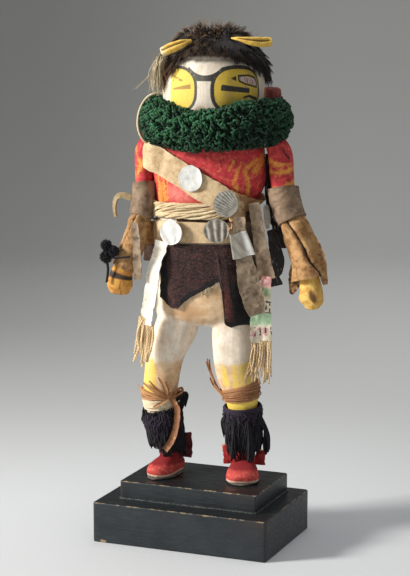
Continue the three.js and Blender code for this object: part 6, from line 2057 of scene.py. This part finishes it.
def make_leg_yarn(yarn):
    rng = np.random.default_rng(61)
    for side, leg, ends, reach, seed in (("right", RIGHT_LEG, (0.655, 0.875), lambda f: 2.6 - 0.8 * f, 61),
                                         ("left", LEFT_LEG, (0.665, 0.86), lambda f: 2.8 - 0.6 * f, 63)):
        shape = sleeve(leg, *ends, reach, rows=24, cols=36, seed=seed, wave=0.3, strand=0.1, purple=0.0)
        if side == "left":
            wound_cords(shape, leg, 0.634, 0.7, 8, 3.0, 1.0, rng, strand=0.4, purple=0.8)
        hanging, hanks = LEG_YARN[side]
        for row in hanging:
            hanging_yarn(shape, leg, rng, *row)
        for points, count, loose in hanks:
            hank(shape, leg, rng, points, count, loose)
        finish_piece(shape.build(f"leg_yarn_{side}"), yarn, "navy_yarn", f"yarn_wrap_{side}")


def husk_blades(shape, leg, blades, widths, seed):
    """Flat blades through [share, degrees, reach] points of a leg, cupped along their length and
    facing away from it; `widths` are shares of each blade's own half width."""
    s = shares(8)
    for n, (points, wide) in enumerate(blades):
        path = on_leg(leg, along(points, s))
        middle = path.mean(0)
        leg_middle = np.array([np.sign(path[0, 0]) * 32, 3, middle[2]])
        stations = np.column_stack([path, wide * np.array(widths)])
        facing = unit(middle - leg_middle) + (0, -0.3, 0)
        outer, inner, size = strap_grids(stations, facing, 0.5, rows=22, cols=6, wave=0.25, cup=0.5,
                                         seed=seed + n, edge=0.12)
        shape.slab(outer, inner, size=size, tone=(n * 0.37) % 1)


def corn_husk():
    made, g, shader = new_material("corn_husk", roughness=0.7)
    fibre = g.noise(g.uv((1, 0.06, 1)), 0.55, detail=4, rough=0.6)
    cloud = g.noise(g.where(), 4, detail=4)
    color = g.blend(g.value("tone"), rgb(190, 140, 92), rgb(142, 90, 56))
    color = g.coat(color, g.span(fibre, 0.46, 0.66), 0.6, rgb(104, 60, 32))
    # painted highlight: pale patches on the blades
    color = g.coat(color, g.span(cloud, 0.56, 0.7), 0.5, rgb(216, 176, 130))
    join_up(g, shader, color, normal=g.bump(fibre, 0.6, 0.3))
    return made


# Blades of husk: their [share, degrees, reach] points and half width.
RIGHT_BLADES = [
    ([[0.572, 62, 1.6], [0.55, 98, 2.6], [0.518, 152, 4.6]], 1.1),
    ([[0.566, 58, 1.8], [0.53, 84, 3.2], [0.49, 126, 4.6]], 1.4),
    ([[0.562, 60, 2.0], [0.525, 76, 3.4], [0.47, 108, 4.6]], 1.0),
    ([[0.56, 56, 1.8], [0.5, 64, 3.2], [0.438, 86, 3.6]], 1.5),
    ([[0.56, 52, 1.8], [0.51, 55, 3.4], [0.455, 66, 4.2]], 0.9),
    ([[0.57, 40, 1.8], [0.535, 12, 5.6], [0.5, 18, 5.0], [0.53, 34, 4.0], [0.57, 30, 2.4]], 1.0),
    ([[0.57, 52, 2.0], [0.6, 76, 2.6], [0.618, 100, 2.4]], 1.2),
]
HUSK_TAIL = [[0.56, 45, 2.2], [0.6, 39, 5.4], [0.64, 36, 8], [0.7, 41, 9.4], [0.76, 52, 10],
             [0.81, 68, 10.4], [0.85, 86, 10.6]]
LEFT_STEMS = [
    ([[0.53, 150, 1.8], [0.47, 158, 2.8], [0.42, 165, 3.8], [0.325, 176, 5.2]], 0.8),
    ([[0.53, 154, 1.8], [0.47, 162, 2.8], [0.41, 168, 4.2], [0.34, 172, 6.2]], 0.7),
    ([[0.53, 146, 1.8], [0.46, 156, 2.6], [0.40, 164, 3.2], [0.335, 182, 4.0]], 0.7),
    ([[0.54, 146, 1.8], [0.47, 168, 5.0], [0.44, 176, 5.6], [0.49, 178, 5.4]], 0.7),
    ([[0.52, 140, 1.8], [0.48, 150, 3.4], [0.45, 158, 4.4], [0.49, 175, 5.0]], 0.6),
]


def make_leg_ties():
    """The husk ties and the cotton garter that are wound on the calves."""
    rng = np.random.default_rng(77)
    husk = corn_husk()
    # right calf: wound husk, a fan of cut ends above, a loop at the inner side, a long tail below
    shape = Shape()
    wound_cords(shape, RIGHT_LEG, 0.538, 0.58, 4, 1.4, 0.95, rng, tone=0.3)
    husk_blades(shape, RIGHT_LEG, RIGHT_BLADES, [0.7, 1, 1.1, 1.1, 1, 0.9, 0.7, 0.35], 81)
    count = 14
    tail = on_leg(RIGHT_LEG, along(HUSK_TAIL, shares(count)))
    half = np.interp(np.arange(count), [0, 3, 13], [1.5, 2.2, 2.6])
    outer, inner, size = strap_grids(np.column_stack([tail, half]), (0.1, -1, 0), 0.6, rows=60, cols=12,
                                     wave=0.5, cup=0.7, seed=90)
    shape.slab(outer, inner, size=size, tone=0.9)
    finish_piece(shape.build("husk_tie_blades", sharp=60), husk, "husk", "husk_tie_right")
    # left calf: a slipped band of husk with thin stems
    shape = sleeve(LEFT_LEG, 0.502, 0.588, lambda f: 1.5 + 0.5 * np.sin(f * 6), seed=91, tone=0.55,
                   rows=30)
    wound_cords(shape, LEFT_LEG, 0.515, 0.578, 5, 1.9, 0.5, rng, tone=0.75)
    husk_blades(shape, LEFT_LEG, LEFT_STEMS, [1, 1, 1, 1, 1, 0.9, 0.8, 0.5], 95)
    finish_piece(shape.build("husk_band_wound", sharp=60), husk, "husk", "husk_band_left")
    # the cream garter, six cords wound below the right knee
    cotton = plain_yarn("garter_cord", (238, 222, 190), (168, 140, 100), 1.2)
    shape = Shape()
    wound_cords(shape, RIGHT_LEG, 0.586, 0.642, 6, 1.0, 0.85, rng, strand=0.8)
    finish_piece(shape.build("garter_turns"), cotton, "cream_cord", "garter_right")


# Leg, degrees round it, the shares at the flap's foot and top, half width, its colours and slot.
ANKLE_FLAPS = {
    "ankle_flap_right": (RIGHT_LEG, -20, 0.975, 0.82, 4.4, (106, 34, 38), (66, 20, 26), "maroon_cloth"),
    "ankle_flap_left_inner": (LEFT_LEG, 160, 0.965, 0.83, 4.6, (206, 52, 46), (158, 34, 34), "red_leather"),
    "ankle_flap_left_outer": (LEFT_LEG, 0, 0.975, 0.865, 4.8, (182, 42, 44), (128, 26, 32), "red_leather"),
}


def make_ankle_flaps():
    """Leather straps that stand out from the ankles, stained pale at their edges and tips."""
    rows, cols = 44, 16
    edge, tip = np.abs(np.linspace(-1, 1, cols))[None, :], shares(rows)[:, None]
    stain = np.maximum(0.75 * step(0.8, 1, edge), 0.8 * step(0.9, 1, tip))
    for k, (node, (leg, degrees, low, high, w, light, dark, slot)) in enumerate(ANKLE_FLAPS.items()):
        leather = suede(node + "_leather", light, dark, (40, 12, 14), 0.3, (206, 168, 140))
        off = np.array([4.6, 6.6, 7.8]) if k == 0 else np.array([4.2, 4.8, 6.4])
        places = on_limb(leg, np.array([low, (low + high) / 2, high]), math.radians(degrees), off)
        stations = along(np.column_stack([places, w * np.array([1, 0.9, 0.78])]), shares(7))
        strap(node + "_strip", stations, (0.2, -1, 0), leather, slot, node, rows=rows, cols=cols,
              thick=1.1, wave=1.0, cup=-0.6, seed=100 + k, edge=0.5,
              values={"stain": stain * (1.0 if k else 0.4)})


# ------------------------------------------------------------------------------ camera and light


def make_camera():
    """In front, toward the figure's left and a little above, with a long lens."""
    data = bpy.data.cameras.new("camera")
    data.sensor_width, data.lens = 36.0, 118.75
    eye = bpy.data.objects.new("camera", data)
    turn, rise = math.radians(22.246), math.radians(9.906)
    back = Vector((math.sin(turn) * math.cos(rise), -math.cos(turn) * math.cos(rise), math.sin(rise)))
    eye.location = (0.5739, -1.39601, 0.4698)
    eye.rotation_mode = "QUATERNION"
    eye.rotation_quaternion = back.to_track_quat("Z", "Y")
    bpy.context.scene.collection.objects.link(eye)
    bpy.context.scene.camera = eye


def area_light_at(name, place, aim, size, power, color=(1, 1, 1)):
    """A rectangle of light of `size` metres and `power` watts, aimed at a point."""
    data = bpy.data.lights.new(name, "AREA")
    data.shape, data.size, data.size_y = "RECTANGLE", *size
    data.energy, data.color = power, color
    lamp = bpy.data.objects.new(name, data)
    lamp.location = place
    lamp.rotation_mode = "QUATERNION"
    lamp.rotation_quaternion = (Vector(place) - Vector(aim)).to_track_quat("Z", "Y")
    bpy.context.scene.collection.objects.link(lamp)


def make_sweep():
    """The floor curving up into a backdrop all round, pale below and painted greyer above where less light
    reaches it.
    """
    radius, bend, height, cols, drop = 2.6, 1.1, 3.2, 96, 0.0002
    corner = np.linspace(0, np.pi / 2, 14)
    out = np.concatenate([[0.02, 0.6], radius - bend + bend * np.sin(corner), [radius]])[:, None]
    up = np.concatenate([[0, 0], bend * (1 - np.cos(corner)), [height]])[:, None] - drop
    rings = xyz(out * np.cos(turns(cols)), out * np.sin(turns(cols)), up)
    rows = len(rings)
    quads, uv = lattice(rows, cols, wrap_cols=True)
    j = np.arange(cols)
    tris = np.stack([np.full(cols, rows * cols), j, (j + 1) % cols], -1)
    shape = Shape().add(np.concatenate([rings.reshape(-1, 3), [[0, 0, -drop]]]), quads, uv, tris)
    floor = shape.build("studio_sweep", in_metres=True)
    made, g, shader = new_material("studio_paper", roughness=0.9)
    place = g.node("ShaderNodeSeparateXYZ", {0: g.where(turn=(0, 0, math.radians(-22.2)))}).outputs
    away = g.length(g.where((1, 1, 0)))
    # painted fall-off of the light: paler near the doll, greyer farther off and up the backdrop
    pale = g.blend(g.span(away, 100.0, 560.0), rgb(211, 214, 217), rgb(193, 195, 195))
    color = g.blend(g.span(away, 1100.0, 2600.0), pale, rgb(152, 153, 152))
    # the light that reaches the paper behind falls off toward the figure's right
    left = g.times(g.span(place["X"], 300.0, -400.0), g.span(place["Y"], 50.0, 1000.0))
    color = g.coat(color, left, 0.6, rgb(92, 93, 90))
    join_up(g, shader, color)
    floor.data.materials.append(made)


def make_lights():
    """A warm key from the figure's right front, a weak cool fill, a soft light above and a dim sky."""
    area_light_at("key", (-1.78, -1.34, 1.12), (0, 0, 0.2), (0.48, 0.48), 87, (1.0, 0.97, 0.92))
    area_light_at("fill", (1.6, -1.6, 1.1), (0, 0, 0.2), (1.6, 1.6), 6, (0.93, 0.96, 1.0))
    area_light_at("top", (0.1, 0.3, 2.0), (0, 0, 0.2), (1.4, 1.4), 13)
    world = bpy.data.worlds.new("studio")
    world.use_nodes = True
    world.node_tree.nodes["Background"].inputs[0].default_value = (0.75, 0.78, 0.8, 1)
    world.node_tree.nodes["Background"].inputs[1].default_value = 0.26
    bpy.context.scene.world = world
    bpy.context.scene.view_settings.view_transform = "Standard"


make_camera()
make_sweep()
make_lights()
make_base()
make_pads()
make_body()
make_arms()
make_ruff()
make_fur()
make_horns()
make_ear()
make_fibre()
LEATHER_BAND = suede("belt_suede", (222, 197, 158), (196, 166, 126), (140, 106, 74), 0.4, (150, 108, 70))
make_waist_cord()
make_belt(LEATHER_BAND)
make_bandolier(LEATHER_BAND)
make_discs()
make_kilt()
GREY = suede("grey_suede", (166, 146, 122), (128, 108, 88), (74, 58, 46), 0.6)
make_sashes(GREY)
make_sash_end()
make_clip()
make_strips(GREY)
make_arm_dress()
YARN_DARK = dark_yarn()
make_pompons(YARN_DARK)
make_leg_yarn(YARN_DARK)
make_leg_ties()
make_ankle_flaps()
